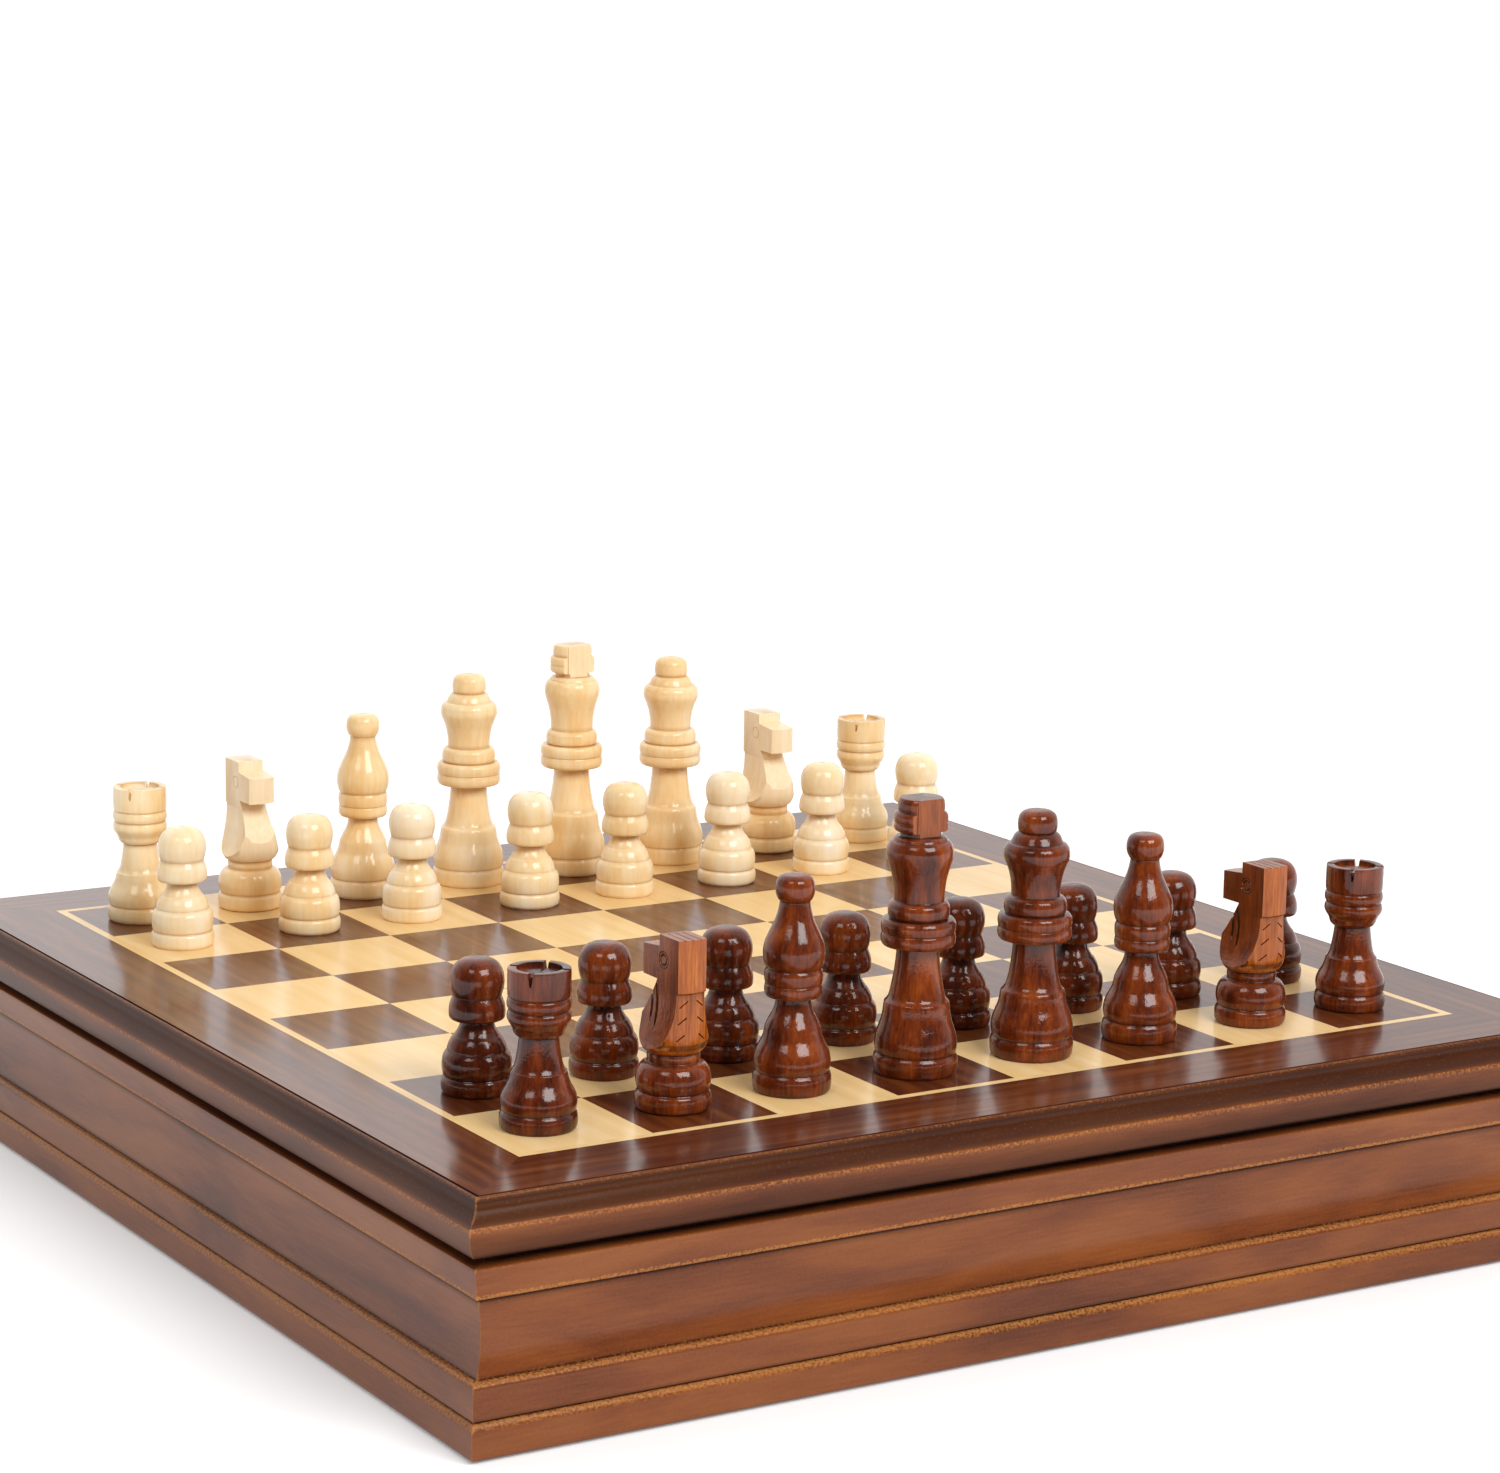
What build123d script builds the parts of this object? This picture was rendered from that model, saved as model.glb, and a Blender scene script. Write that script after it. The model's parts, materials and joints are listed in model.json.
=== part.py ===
from build123d import *
import os
from math import radians, tan

# Playing board, all sizes in millimetres
squares_across = 8
square_side = 39.5
stringing_w = 2.7  # pale line round the squares
border_w = 25.3  # mitred walnut border
veneer_t = 0.8

# Lid
lid_core_t = 15.0
edge_w = 5.3  # edge moulding, from the border to its lip
edge_bead_w = 1.5
edge_bead_h = 1.2
edge_cove_h = 6.2
edge_cove_sag = 1.0
edge_lip_h = 3.0
edge_foot_in = 2.6  # how far the rounded foot runs back from the lip
under_panel_t = 3.2  # shows as the dark gap over the tray
under_panel_inset = 6.0  # from the tray's outer top edge
batten_w = 8.0
batten_h = 6.0
batten_gap = 1.0  # between a batten and the tray wall

# Tray walls, one moulding mitred at the corners
lid_overhang = 3.4  # lid lip past the tray's top edge
tray_h = 50.7
wall_t = 13.0
top_band_h = 9.0
top_band_taper = 1.0
quirk_depth = 0.8
cove_end_in = 1.1  # lower end of the long cove, from the top edge
cove_sag = 1.9
foot_band_h = 10.4
foot_band_out = 0.9
foot_band_round = 1.4
plinth_h = 9.8
plinth_out = 1.5
plinth_round = 2.2
rebate_depth = 5.0
base_panel_t = 5.0
base_panel_gap = 0.2
felt_t = 1.0
felt_inset = 2.5

# Insert with its pockets
insert_floor_t = 5.0
insert_t = 13.0
insert_gap = 0.3
pocket_gap = 0.8  # all round a lying piece
pocket_round = 2.0
seat_gap = 0.3  # under a lying piece
back_row_margin = 24.6  # tray wall to the pocket's end
back_row_end = 27.4  # tray wall to the middle of the first pocket
pawn_row_gap = 10.5  # middle of the tray to the pawn pockets
pawn_row_end = 33.0

# Turned bases, alike on every piece
base_groove_h = 0.7
base_groove_depth = 0.7
base_bow = 0.25
bell_bow = 0.5
stem_bow = 0.5
bead_bow = 0.6
dome_fullness = 0.55  # rounds the top of a ball like a quarter ellipse

# King
king_base_d = 24.2
king_base_h = 5.6
king_bell_d = 23.4
king_bell_low_h = 6.5
king_bell_mid_d = 21.6
king_bell_top_h = 7.0
king_step_d = 18.8
king_step_h = 1.4
king_stem_low_d = 17.8
king_stem_top_d = 12.0
king_stem_h = 16.0
king_collar_d = 20.6
king_ring_d = 16.2
king_waist_d = 14.2
king_shoulder_d = 19.0
king_waist_h = 14.8
king_cap_d = 15.8
king_cap_h = 3.8
king_neck_d = 11.8
king_neck_h = 1.6
king_lug_d = 15.2
king_lug_h = 5.4
king_top_d = 13.4
king_top_h = 4.2
king_flat_t = 9.6  # between the two milled flats

# King and queen
collar_ring_h = 3.8  # each of the two rings of the collar
neck_ring_h = 5.0

# Queen
queen_base_d = 24.2
queen_base_h = 5.6
queen_bell_d = 23.4
queen_bell_low_h = 6.0
queen_bell_mid_d = 21.6
queen_bell_top_h = 6.4
queen_step_d = 18.8
queen_step_h = 1.3
queen_stem_low_d = 17.8
queen_stem_top_d = 12.2
queen_stem_h = 14.6
queen_collar_d = 20.8
queen_ring_d = 16.4
queen_waist_d = 13.8
queen_rim_low_d = 17.2
queen_waist_h = 11.0
queen_rim_top_d = 16.6
queen_rim_h = 4.7
queen_rim_bow = 0.9
queen_cap_low_d = 15.8
queen_cap_top_d = 13.0
queen_cap_h = 2.2
queen_ball_low_d = 10.6
queen_ball_d = 11.4
queen_ball_low_h = 3.8
queen_ball_top_h = 3.4

# Bishop
bishop_base_d = 22.2
bishop_base_h = 5.7
bishop_bell_d = 21.4
bishop_bell_low_h = 5.8
bishop_bell_mid_d = 18.8
bishop_bell_top_h = 6.0
bishop_step_d = 15.6
bishop_step_h = 1.6
bishop_stem_low_d = 14.6
bishop_stem_top_d = 9.6
bishop_stem_h = 7.1
bishop_ring_d = 15.4
bishop_low_ring_h = 3.6
bishop_high_ring_h = 4.4
bishop_bulb_low_d = 15.4
bishop_bulb_d = 17.3
bishop_bulb_low_h = 4.9
bishop_bulb_mid_d = 13.8
bishop_bulb_mid_h = 7.2
bishop_bulb_top_d = 8.5
bishop_bulb_top_h = 7.0
bishop_ball_low_d = 8.6
bishop_ball_d = 11.0
bishop_ball_low_h = 3.9
bishop_ball_top_h = 3.7

# Rook
rook_base_d = 21.4
rook_base_h = 4.8
rook_bell_d = 20.6
rook_bell_low_h = 4.2
rook_bell_mid_d = 19.0
rook_bell_top_h = 5.3
rook_step_d = 15.8
rook_step_h = 1.0
rook_stem_low_d = 15.2
rook_stem_top_d = 10.8
rook_stem_h = 9.8
rook_flare_low_d = 12.6
rook_flare_top_d = 16.0
rook_flare_h = 2.9
rook_ring_d = 16.4
rook_ring_h = 3.9
rook_crown_d = 17.1
rook_crown_h = 7.7
rook_recess_d = 12.0
rook_recess_depth = 1.6
rook_notch_w = 1.3
rook_notch_depth = 3.8
rook_notches = 4

# Knight, turned first and then milled flat
knight_base_d = 20.6
knight_base_h = 4.8
knight_bead_low_d = 18.4
knight_bead_top_d = 15.2
knight_bead_h = 7.9
knight_bead_bow = 1.4
knight_neck_d = 14.4
knight_neck_h = 2.9
knight_bulb_low_d = 15.0
knight_body_d = 19.4
knight_bulb_h = 5.6
knight_body_h = 12.3
knight_head_d = 20.8
knight_head_h = 14.9
knight_head_t = 8.8  # between the milled flanks
knight_flank_run = 17.0  # height over which the flanks flare out above the neck
knight_flank_flare = 5.5
knight_ear_front = 0.8  # from the axis
knight_ear_h = 3.3
knight_snout_h = 9.4
knight_brow_drop = 2.0  # fall of the snout's top over the width of the head
knight_throat = 1.8
knight_chest_angle = 31.0  # from upright

# Pawn
pawn_base_d = 20.0
pawn_base_h = 4.6
pawn_bell_d = 19.2
pawn_bell_low_h = 5.9
pawn_bell_mid_d = 15.8
pawn_bell_top_h = 4.5
pawn_stem_low_d = 13.2
pawn_stem_top_d = 9.2
pawn_stem_h = 5.1
pawn_skirt_low_d = 15.4
pawn_skirt_top_d = 13.4
pawn_skirt_h = 6.9
pawn_ball_low_d = 12.8
pawn_ball_d = 14.9
pawn_ball_low_h = 6.0
pawn_ball_top_h = 4.5

# How the pieces stand: rank, and each piece's push along X off the middle of its square
dark_back_line = ["rook", "knight", "bishop", "king", "queen", "bishop", "knight", "rook"]
white_back_line = ["rook", "knight", "bishop", "queen", "king", "queen", "knight", "rook"]
pawn_line = ["pawn"] * squares_across
dark_back_push = [-4.5, -2.0, -3.0, -1.0, 0.0, -0.5, 1.5, 0.5]
dark_pawn_push = [-2.5, -1.5, -1.0, 0.0, 1.0, 3.0, 1.0, 1.0]
white_pawn_push = [-4.5, 0.5, -2.0, 2.5, -0.5, 0.5, -0.5, -0.5]
white_back_push = [-2.0, -2.5, -0.5, 0.0, 0.5, 0.5, 1.5, 1.5]

# Pocket rows, and which pockets hold the two spare pieces
back_pockets = ["rook", "knight", "bishop", "queen", "king", "queen", "bishop", "knight", "rook"]
pawn_pockets = ["pawn"] * squares_across
spare_pockets = {"white_bishop_2": ("white", "bishop", 6), "dark_queen_2": ("dark", "queen", 5)}

# Worked out from the sizes above
field_side = squares_across * square_side
string_half = field_side / 2 + stringing_w
board_half = string_half + border_w
lid_half = board_half + edge_w
tray_half = lid_half - lid_overhang
inner_half = tray_half - wall_t
tray_low = felt_t
tray_top = tray_low + tray_h
core_low = tray_top + under_panel_t
veneer_low = core_low + lid_core_t
board_top = veneer_low + veneer_t
pocket_floor = tray_low + base_panel_t + insert_floor_t


def bowed(start, end, bow):
    """An edge from start to end whose middle stands bow to the right of the straight line."""
    start, end = Vector(*start), Vector(*end)
    along = (end - start).normalized()
    middle = (start + end) / 2 + Vector(along.Y, -along.X) * bow
    return ThreePointArc(start, middle, end)


def turned(rings, dome_h=0.0):
    """A turned solid: rings are (height, lower diameter, upper diameter, bow), from the base up."""
    edges = []
    last = (0, 0)
    for height, low_d, high_d, bow in rings:
        low = (low_d / 2, last[1])
        high = (high_d / 2, last[1] + height)
        if low != last:
            edges.append(Line(last, low))
        edges.append(bowed(low, high, bow) if bow else Line(low, high))
        last = high
    top = (0, last[1] + dome_h)
    if dome_h:
        side_pull = (last[0], last[1] + dome_h * dome_fullness)
        top_pull = (last[0] * dome_fullness, top[1])
        edges.append(Bezier(last, side_pull, top_pull, top))
    else:
        edges.append(Line(last, top))
    edges.append(Line(top, (0, 0)))
    return revolve(Plane.XZ * make_face(edges), Axis.Z)


def base_rings(base_d, base_h, bell_d, low_h, mid_d, top_h, top_d):
    """Foot ring, groove and bell, which every turned piece starts with."""
    groove_d = bell_d - 2 * base_groove_depth
    return [
        (base_h, base_d, base_d, base_bow),
        (base_groove_h, groove_d, groove_d, 0),
        (low_h, bell_d, mid_d, bell_bow),
        (top_h, mid_d, top_d, -bell_bow),
    ]


def royal_rings(stem_low_d, stem_top_d, stem_h, collar_d, ring_d):
    """Stem, double collar and neck ring of the king and the queen."""
    return [
        (stem_h, stem_low_d, stem_top_d, -stem_bow),
        (collar_ring_h, collar_d, collar_d, base_bow),
        (collar_ring_h, collar_d, collar_d, base_bow),
        (neck_ring_h, ring_d, ring_d, bead_bow),
    ]


def king():
    rings = base_rings(
        king_base_d, king_base_h, king_bell_d, king_bell_low_h, king_bell_mid_d, king_bell_top_h, king_step_d
    )
    rings.append((king_step_h, king_step_d, king_stem_low_d, base_bow))
    rings += royal_rings(king_stem_low_d, king_stem_top_d, king_stem_h, king_collar_d, king_ring_d)
    rings.append((king_waist_h, king_waist_d, king_shoulder_d, -stem_bow))
    rings.append((king_cap_h, king_shoulder_d, king_cap_d, bell_bow))
    shoulder_z = sum(ring[0] for ring in rings)
    rings.append((king_neck_h, king_neck_d, king_neck_d, 0))
    rings.append((king_lug_h, king_lug_d, king_lug_d, base_bow))
    rings.append((king_top_h, king_top_d, king_top_d, base_bow))
    finial_h = king_neck_h + king_lug_h + king_top_h
    keep_low = Box(king_base_d * 2, king_base_d * 2, shoulder_z, align=(Align.CENTER, Align.CENTER, Align.MIN))
    keep_finial = Pos(0, 0, shoulder_z) * Box(
        king_base_d * 2, king_flat_t, finial_h, align=(Align.CENTER, Align.CENTER, Align.MIN)
    )
    return turned(rings) & (keep_low + keep_finial)


def queen():
    rings = base_rings(
        queen_base_d, queen_base_h, queen_bell_d, queen_bell_low_h, queen_bell_mid_d, queen_bell_top_h, queen_step_d
    )
    rings.append((queen_step_h, queen_step_d, queen_stem_low_d, base_bow))
    rings += royal_rings(queen_stem_low_d, queen_stem_top_d, queen_stem_h, queen_collar_d, queen_ring_d)
    rings.append((queen_waist_h, queen_waist_d, queen_rim_low_d, -stem_bow))
    rings.append((queen_rim_h, queen_rim_low_d, queen_rim_top_d, queen_rim_bow))
    rings.append((queen_cap_h, queen_cap_low_d, queen_cap_top_d, base_bow))
    rings.append((queen_ball_low_h, queen_ball_low_d, queen_ball_d, base_bow))
    return turned(rings, queen_ball_top_h)


def bishop():
    rings = base_rings(
        bishop_base_d,
        bishop_base_h,
        bishop_bell_d,
        bishop_bell_low_h,
        bishop_bell_mid_d,
        bishop_bell_top_h,
        bishop_step_d,
    )
    rings.append((bishop_step_h, bishop_step_d, bishop_stem_low_d, base_bow))
    rings.append((bishop_stem_h, bishop_stem_low_d, bishop_stem_top_d, -stem_bow))
    rings.append((bishop_low_ring_h, bishop_ring_d, bishop_ring_d, bead_bow))
    rings.append((bishop_high_ring_h, bishop_ring_d, bishop_ring_d, bead_bow))
    rings.append((bishop_bulb_low_h, bishop_bulb_low_d, bishop_bulb_d, base_bow))
    rings.append((bishop_bulb_mid_h, bishop_bulb_d, bishop_bulb_mid_d, bell_bow))
    rings.append((bishop_bulb_top_h, bishop_bulb_mid_d, bishop_bulb_top_d, -bell_bow))
    rings.append((bishop_ball_low_h, bishop_ball_low_d, bishop_ball_d, bell_bow))
    return turned(rings, bishop_ball_top_h)


def rook():
    rings = base_rings(
        rook_base_d, rook_base_h, rook_bell_d, rook_bell_low_h, rook_bell_mid_d, rook_bell_top_h, rook_step_d
    )
    rings.append((rook_step_h, rook_step_d, rook_stem_low_d, base_bow))
    rings.append((rook_stem_h, rook_stem_low_d, rook_stem_top_d, -stem_bow))
    rings.append((rook_flare_h, rook_flare_low_d, rook_flare_top_d, base_bow))
    rings.append((rook_ring_h, rook_ring_d, rook_ring_d, bead_bow))
    rings.append((rook_ring_h, rook_ring_d, rook_ring_d, bead_bow))
    rings.append((rook_crown_h, rook_crown_d, rook_crown_d, 0))
    top_z = sum(ring[0] for ring in rings)
    body = turned(rings)
    from_top = (Align.CENTER, Align.CENTER, Align.MAX)
    body -= Pos(0, 0, top_z) * Cylinder(rook_recess_d / 2, rook_recess_depth, align=from_top)
    wall_middle = (rook_recess_d + rook_crown_d) / 4
    notch = Box(rook_recess_d / 2, rook_notch_w, rook_notch_depth, align=from_top)
    for turn in range(rook_notches):
        body -= Rot(0, 0, (turn + 0.5) * 360 / rook_notches) * Pos(wall_middle, 0, top_z) * notch
    return body


def knight():
    """Turned blank, cut to the side outline and then milled flat on both flanks; it looks along -Y."""
    rings = [
        (knight_base_h, knight_base_d, knight_base_d, base_bow),
        (base_groove_h, knight_bead_low_d, knight_bead_low_d, 0),
        (knight_bead_h, knight_bead_low_d, knight_bead_top_d, knight_bead_bow),
        (knight_neck_h, knight_neck_d, knight_neck_d, 0),
    ]
    neck_z = sum(ring[0] for ring in rings)
    rings.append((knight_bulb_h, knight_bulb_low_d, knight_body_d, bell_bow))
    rings.append((knight_body_h, knight_body_d, knight_body_d, 0))
    rings.append((knight_head_h, knight_head_d, knight_head_d, 0))
    top_z = sum(ring[0] for ring in rings)
    reach = knight_head_d
    snout_top = top_z - knight_ear_h
    snout_low = snout_top - knight_snout_h
    chest_low = snout_low - (reach - knight_throat) / tan(radians(knight_chest_angle))
    side_outline = Polyline(
        (reach, top_z),
        (-knight_ear_front, top_z),
        (-knight_ear_front, snout_top),
        (-reach, snout_top - knight_brow_drop),
        (-reach, snout_low),
        (-knight_throat, snout_low),
        (-reach, chest_low),
        (-reach, 0),
        (reach, 0),
        close=True,
    )
    side = extrude(Plane.YZ * make_face(side_outline), amount=reach, both=True)
    flank_x = knight_head_t / 2
    run_z = neck_z + knight_flank_run
    flank_edges = [
        Line((flank_x, top_z), (flank_x, run_z)),
        TangentArc((flank_x, run_z), (flank_x + knight_flank_flare, neck_z), tangent=(0, -1)),
        Line((flank_x + knight_flank_flare, neck_z), (reach, neck_z)),
        Line((reach, neck_z), (reach, top_z)),
        Line((reach, top_z), (flank_x, top_z)),
    ]
    flank = extrude(Plane.XZ * make_face(flank_edges), amount=reach, both=True)
    return (turned(rings) & side) - flank - flank.mirror(Plane.YZ)


def pawn():
    groove_d = pawn_bell_d - 2 * base_groove_depth
    rings = [
        (pawn_base_h, pawn_base_d, pawn_base_d, base_bow),
        (base_groove_h, groove_d, groove_d, 0),
        (pawn_bell_low_h, pawn_bell_d, pawn_bell_mid_d, bell_bow),
        (pawn_bell_top_h, pawn_bell_mid_d, pawn_stem_low_d, base_bow),
        (pawn_stem_h, pawn_stem_low_d, pawn_stem_top_d, -stem_bow),
        (pawn_skirt_h, pawn_skirt_low_d, pawn_skirt_top_d, base_bow),
        (pawn_ball_low_h, pawn_ball_low_d, pawn_ball_d, base_bow),
    ]
    return turned(rings, pawn_ball_top_h)


def mitred_sides(section):
    """Four sides of a frame from a section on the -Y side, each cut at 45 degrees."""
    box = section.bounding_box()
    reach = 2 * lid_half
    bar = extrude(section, amount=reach, dir=(1, 0, 0), both=True)
    corner = Polygon((0, 0), (-reach, -reach), (reach, -reach), align=None)
    wedge = extrude(Pos(0, 0, box.min.Z) * corner, amount=box.size.Z)
    front = bar & wedge
    return {side: front.rotate(Axis.Z, 90 * turn) for turn, side in enumerate(("front", "right", "back", "left"))}


def strip_section(near, far, low, high):
    """A plain rectangular section on the -Y side, from near to far off the middle."""
    return Plane.YZ * make_face(Polyline((-near, low), (-far, low), (-far, high), (-near, high), close=True))


def edge_section():
    """Bead, cove, lip and rounded foot of the lid's edge moulding."""
    bead_z = board_top - edge_bead_h
    lip_z = bead_z - edge_cove_h
    foot_z = lip_z - edge_lip_h
    bead_y = board_half + edge_bead_w
    edges = [
        Line((-board_half, core_low), (-board_half, board_top)),
        Line((-board_half, board_top), (-bead_y, board_top)),
        Line((-bead_y, board_top), (-bead_y, bead_z)),
        bowed((-bead_y, bead_z), (-lid_half, lip_z), -edge_cove_sag),
        Line((-lid_half, lip_z), (-lid_half, foot_z)),
        TangentArc((-lid_half, foot_z), (-lid_half + edge_foot_in, core_low), tangent=(0, -1)),
        Line((-lid_half + edge_foot_in, core_low), (-board_half, core_low)),
    ]
    return Plane.YZ * make_face(edges)


def wall_section():
    """The tray wall: top band, long cove, foot band and plinth outside, rebate for the base inside."""
    band_z = tray_top - top_band_h
    foot_z = tray_low + plinth_h + foot_band_h
    plinth_z = tray_low + plinth_h
    band_y = tray_half - top_band_taper
    cove_end_y = tray_half - cove_end_in
    foot_y = tray_half + foot_band_out
    plinth_y = tray_half + plinth_out
    plinth_step_y = foot_y + plinth_out - foot_band_out - plinth_round
    panel_z = tray_low + base_panel_t
    rebate_y = inner_half + rebate_depth
    edges = [
        Line((-inner_half, panel_z), (-inner_half, tray_top)),
        Line((-inner_half, tray_top), (-tray_half, tray_top)),
        Line((-tray_half, tray_top), (-band_y, band_z)),
        Line((-band_y, band_z), (-band_y + quirk_depth, band_z)),
        bowed((-band_y + quirk_depth, band_z), (-cove_end_y, foot_z), -cove_sag),
        Line((-cove_end_y, foot_z), (-foot_y + foot_band_round, foot_z)),
        TangentArc((-foot_y + foot_band_round, foot_z), (-foot_y, foot_z - foot_band_round), tangent=(-1, 0)),
        Line((-foot_y, foot_z - foot_band_round), (-foot_y, plinth_z)),
        Line((-foot_y, plinth_z), (-plinth_step_y, plinth_z)),
        TangentArc((-plinth_step_y, plinth_z), (-plinth_y, plinth_z - plinth_round), tangent=(-1, 0)),
        Line((-plinth_y, plinth_z - plinth_round), (-plinth_y, tray_low)),
        Line((-plinth_y, tray_low), (-rebate_y, tray_low)),
        Line((-rebate_y, tray_low), (-rebate_y, panel_z)),
        Line((-rebate_y, panel_z), (-inner_half, panel_z)),
    ]
    return Plane.YZ * make_face(edges)


def sheet(half, low, thickness):
    """A square panel centred on the box."""
    return Pos(0, 0, low) * Box(2 * half, 2 * half, thickness, align=(Align.CENTER, Align.CENTER, Align.MIN))


def square_centre(step):
    return (step - (squares_across - 1) / 2) * square_side


def board_squares(dark):
    """The veneer squares of one colour; the near left corner of the board is light."""
    tile = Box(square_side, square_side, veneer_t, align=(Align.CENTER, Align.CENTER, Align.MIN))
    tiles = []
    for column in range(squares_across):
        for rank in range(squares_across):
            if (column + rank) % 2 == int(dark):
                tiles.append(Pos(square_centre(column), square_centre(rank), veneer_low) * tile)
    return tiles


def pocket_places():
    """Every pocket as (row, index, kind, x, y of the base end, way the head points along Y)."""
    places = []
    for row, way in (("white", -1), ("dark", 1)):
        for kinds, end in ((back_pockets, back_row_end), (pawn_pockets, pawn_row_end)):
            first = -inner_half + end
            pitch = -2 * first / (len(kinds) - 1)
            for index, kind in enumerate(kinds):
                if kind == "pawn":
                    base_y = pawn_row_gap + piece_h["pawn"] + pocket_gap
                else:
                    base_y = inner_half - back_row_margin - pocket_gap
                places.append((row, index, kind, first + index * pitch, -way * base_y, way))
    return places


def insert_sheet():
    """The die-cut sheet, with one rounded pocket for each piece."""
    body = sheet(inner_half - insert_gap, pocket_floor, insert_t)
    for row, index, kind, x, base_y, way in pocket_places():
        width = piece_d[kind] + 2 * pocket_gap
        length = piece_h[kind] + 2 * pocket_gap
        middle_y = base_y + way * piece_h[kind] / 2
        outline = Pos(x, middle_y, pocket_floor) * RectangleRounded(width, length, pocket_round)
        body -= extrude(outline, amount=insert_t)
    return body


def spare_pieces():
    """The spare pieces in their pockets, heads towards the middle of the tray."""
    placed = {}
    for row, index, kind, x, base_y, way in pocket_places():
        for name, pocket in spare_pockets.items():
            if pocket == (row, kind, index):
                axis_z = pocket_floor + seat_gap + piece_d[kind] / 2
                placed[name] = Pos(x, base_y, axis_z) * Rot(-90 * way, 0, 0) * shapes[kind]
    return placed


def stand(colour, line, rank, pushes, facing):
    """One rank of pieces on the board, named by colour, kind and count along the rank."""
    placed = {}
    for column, kind in enumerate(line):
        number = line[: column + 1].count(kind)
        single = line.count(kind) == 1 and kind == "king"
        name = f"{colour}_{kind}" if single else f"{colour}_{kind}_{number}"
        x = square_centre(column) + pushes[column]
        placed[name] = Pos(x, square_centre(rank), board_top) * Rot(0, 0, facing) * shapes[kind]
    return placed


shapes = {"king": king(), "queen": queen(), "bishop": bishop(), "rook": rook(), "knight": knight(), "pawn": pawn()}
piece_h = {kind: shape.bounding_box().size.Z for kind, shape in shapes.items()}
piece_d = {kind: shape.bounding_box().size.X for kind, shape in shapes.items()}

nodes = {}
for side, wall in mitred_sides(wall_section()).items():
    nodes[f"tray_wall_{side}"] = wall
nodes["tray_base_panel"] = sheet(inner_half + rebate_depth - base_panel_gap, tray_low, base_panel_t)
nodes["tray_base_felt"] = sheet(tray_half + plinth_out - felt_inset, 0, felt_t)
nodes["insert_floor_sheet"] = sheet(inner_half - insert_gap, tray_low + base_panel_t, insert_floor_t)
nodes["insert_pocket_sheet"] = insert_sheet()

nodes["lid_core_panel"] = sheet(board_half, core_low, lid_core_t)
nodes["lid_under_panel"] = sheet(tray_half - under_panel_inset, tray_top, under_panel_t)
batten_far = inner_half - batten_gap
batten_sides = mitred_sides(strip_section(batten_far - batten_w, batten_far, tray_top - batten_h, tray_top))
for side, batten in batten_sides.items():
    nodes[f"lid_batten_{side}"] = batten
for side, edge in mitred_sides(edge_section()).items():
    nodes[f"lid_edge_{side}"] = edge
for side, border in mitred_sides(strip_section(string_half, board_half, veneer_low, board_top)).items():
    nodes[f"board_border_{side}"] = border
stringing = mitred_sides(strip_section(field_side / 2, string_half, veneer_low, board_top))
nodes["board_stringing"] = Compound(children=list(stringing.values()))
nodes["board_light_squares"] = Compound(children=board_squares(dark=False))
nodes["board_dark_squares"] = Compound(children=board_squares(dark=True))

last_rank = squares_across - 1
nodes.update(stand("dark", dark_back_line, 0, dark_back_push, 180))
nodes.update(stand("dark", pawn_line, 1, dark_pawn_push, 0))
nodes.update(stand("white", pawn_line, last_rank - 1, white_pawn_push, 0))
nodes.update(stand("white", white_back_line, last_rank, white_back_push, 0))
nodes.update(spare_pieces())

os.makedirs("parts", exist_ok=True)
for name, shape in nodes.items():
    export_step(shape, f"parts/{name}.step")
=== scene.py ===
import json
import math

import bmesh
import bpy
import numpy as np
from mathutils import Matrix, Vector


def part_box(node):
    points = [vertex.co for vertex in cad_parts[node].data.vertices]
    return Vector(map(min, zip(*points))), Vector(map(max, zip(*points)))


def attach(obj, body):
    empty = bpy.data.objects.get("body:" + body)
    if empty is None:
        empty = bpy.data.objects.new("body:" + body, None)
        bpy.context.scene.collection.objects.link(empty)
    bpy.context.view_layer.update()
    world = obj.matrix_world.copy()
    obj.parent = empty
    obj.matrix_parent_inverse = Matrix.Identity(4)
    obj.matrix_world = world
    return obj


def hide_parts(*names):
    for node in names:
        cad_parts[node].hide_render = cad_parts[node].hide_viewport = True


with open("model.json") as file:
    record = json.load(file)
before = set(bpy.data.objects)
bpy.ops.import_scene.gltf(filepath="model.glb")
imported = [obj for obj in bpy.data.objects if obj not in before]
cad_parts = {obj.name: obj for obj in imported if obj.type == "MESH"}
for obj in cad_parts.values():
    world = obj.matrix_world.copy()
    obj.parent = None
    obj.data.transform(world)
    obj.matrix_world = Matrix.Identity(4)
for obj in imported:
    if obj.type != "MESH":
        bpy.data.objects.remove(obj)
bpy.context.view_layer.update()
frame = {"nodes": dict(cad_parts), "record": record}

mm = 0.001
nodes = frame["nodes"]
bodies = frame["record"]["behaviour"]["bodies"]
bodyOf = {node: body for body, members in bodies.items() for node in members}
sides = ("front", "right", "back", "left")
kinds = ("king", "queen", "bishop", "knight", "rook", "pawn")
clear = 20  # millimetres that a cutter reaches past the wood
samePoint = 0.01  # millimetres, nearer points are one
sharpEdge = {"moulding": 35, "piece": 38}  # degrees, steeper edges stay sharp


def pick(obj):
    bpy.ops.object.select_all(action="DESELECT")
    obj.select_set(True)
    bpy.context.view_layer.objects.active = obj


def cut(obj, cutter):
    pick(obj)
    saw = obj.modifiers.new("saw", "BOOLEAN")
    saw.operation = "DIFFERENCE"
    saw.solver = "EXACT"
    saw.object = cutter
    bpy.ops.object.modifier_apply(modifier=saw.name)
    bpy.data.objects.remove(cutter)


def finishCutter():
    bpy.ops.object.transform_apply(location=True, rotation=True, scale=True)
    return bpy.context.object


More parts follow.
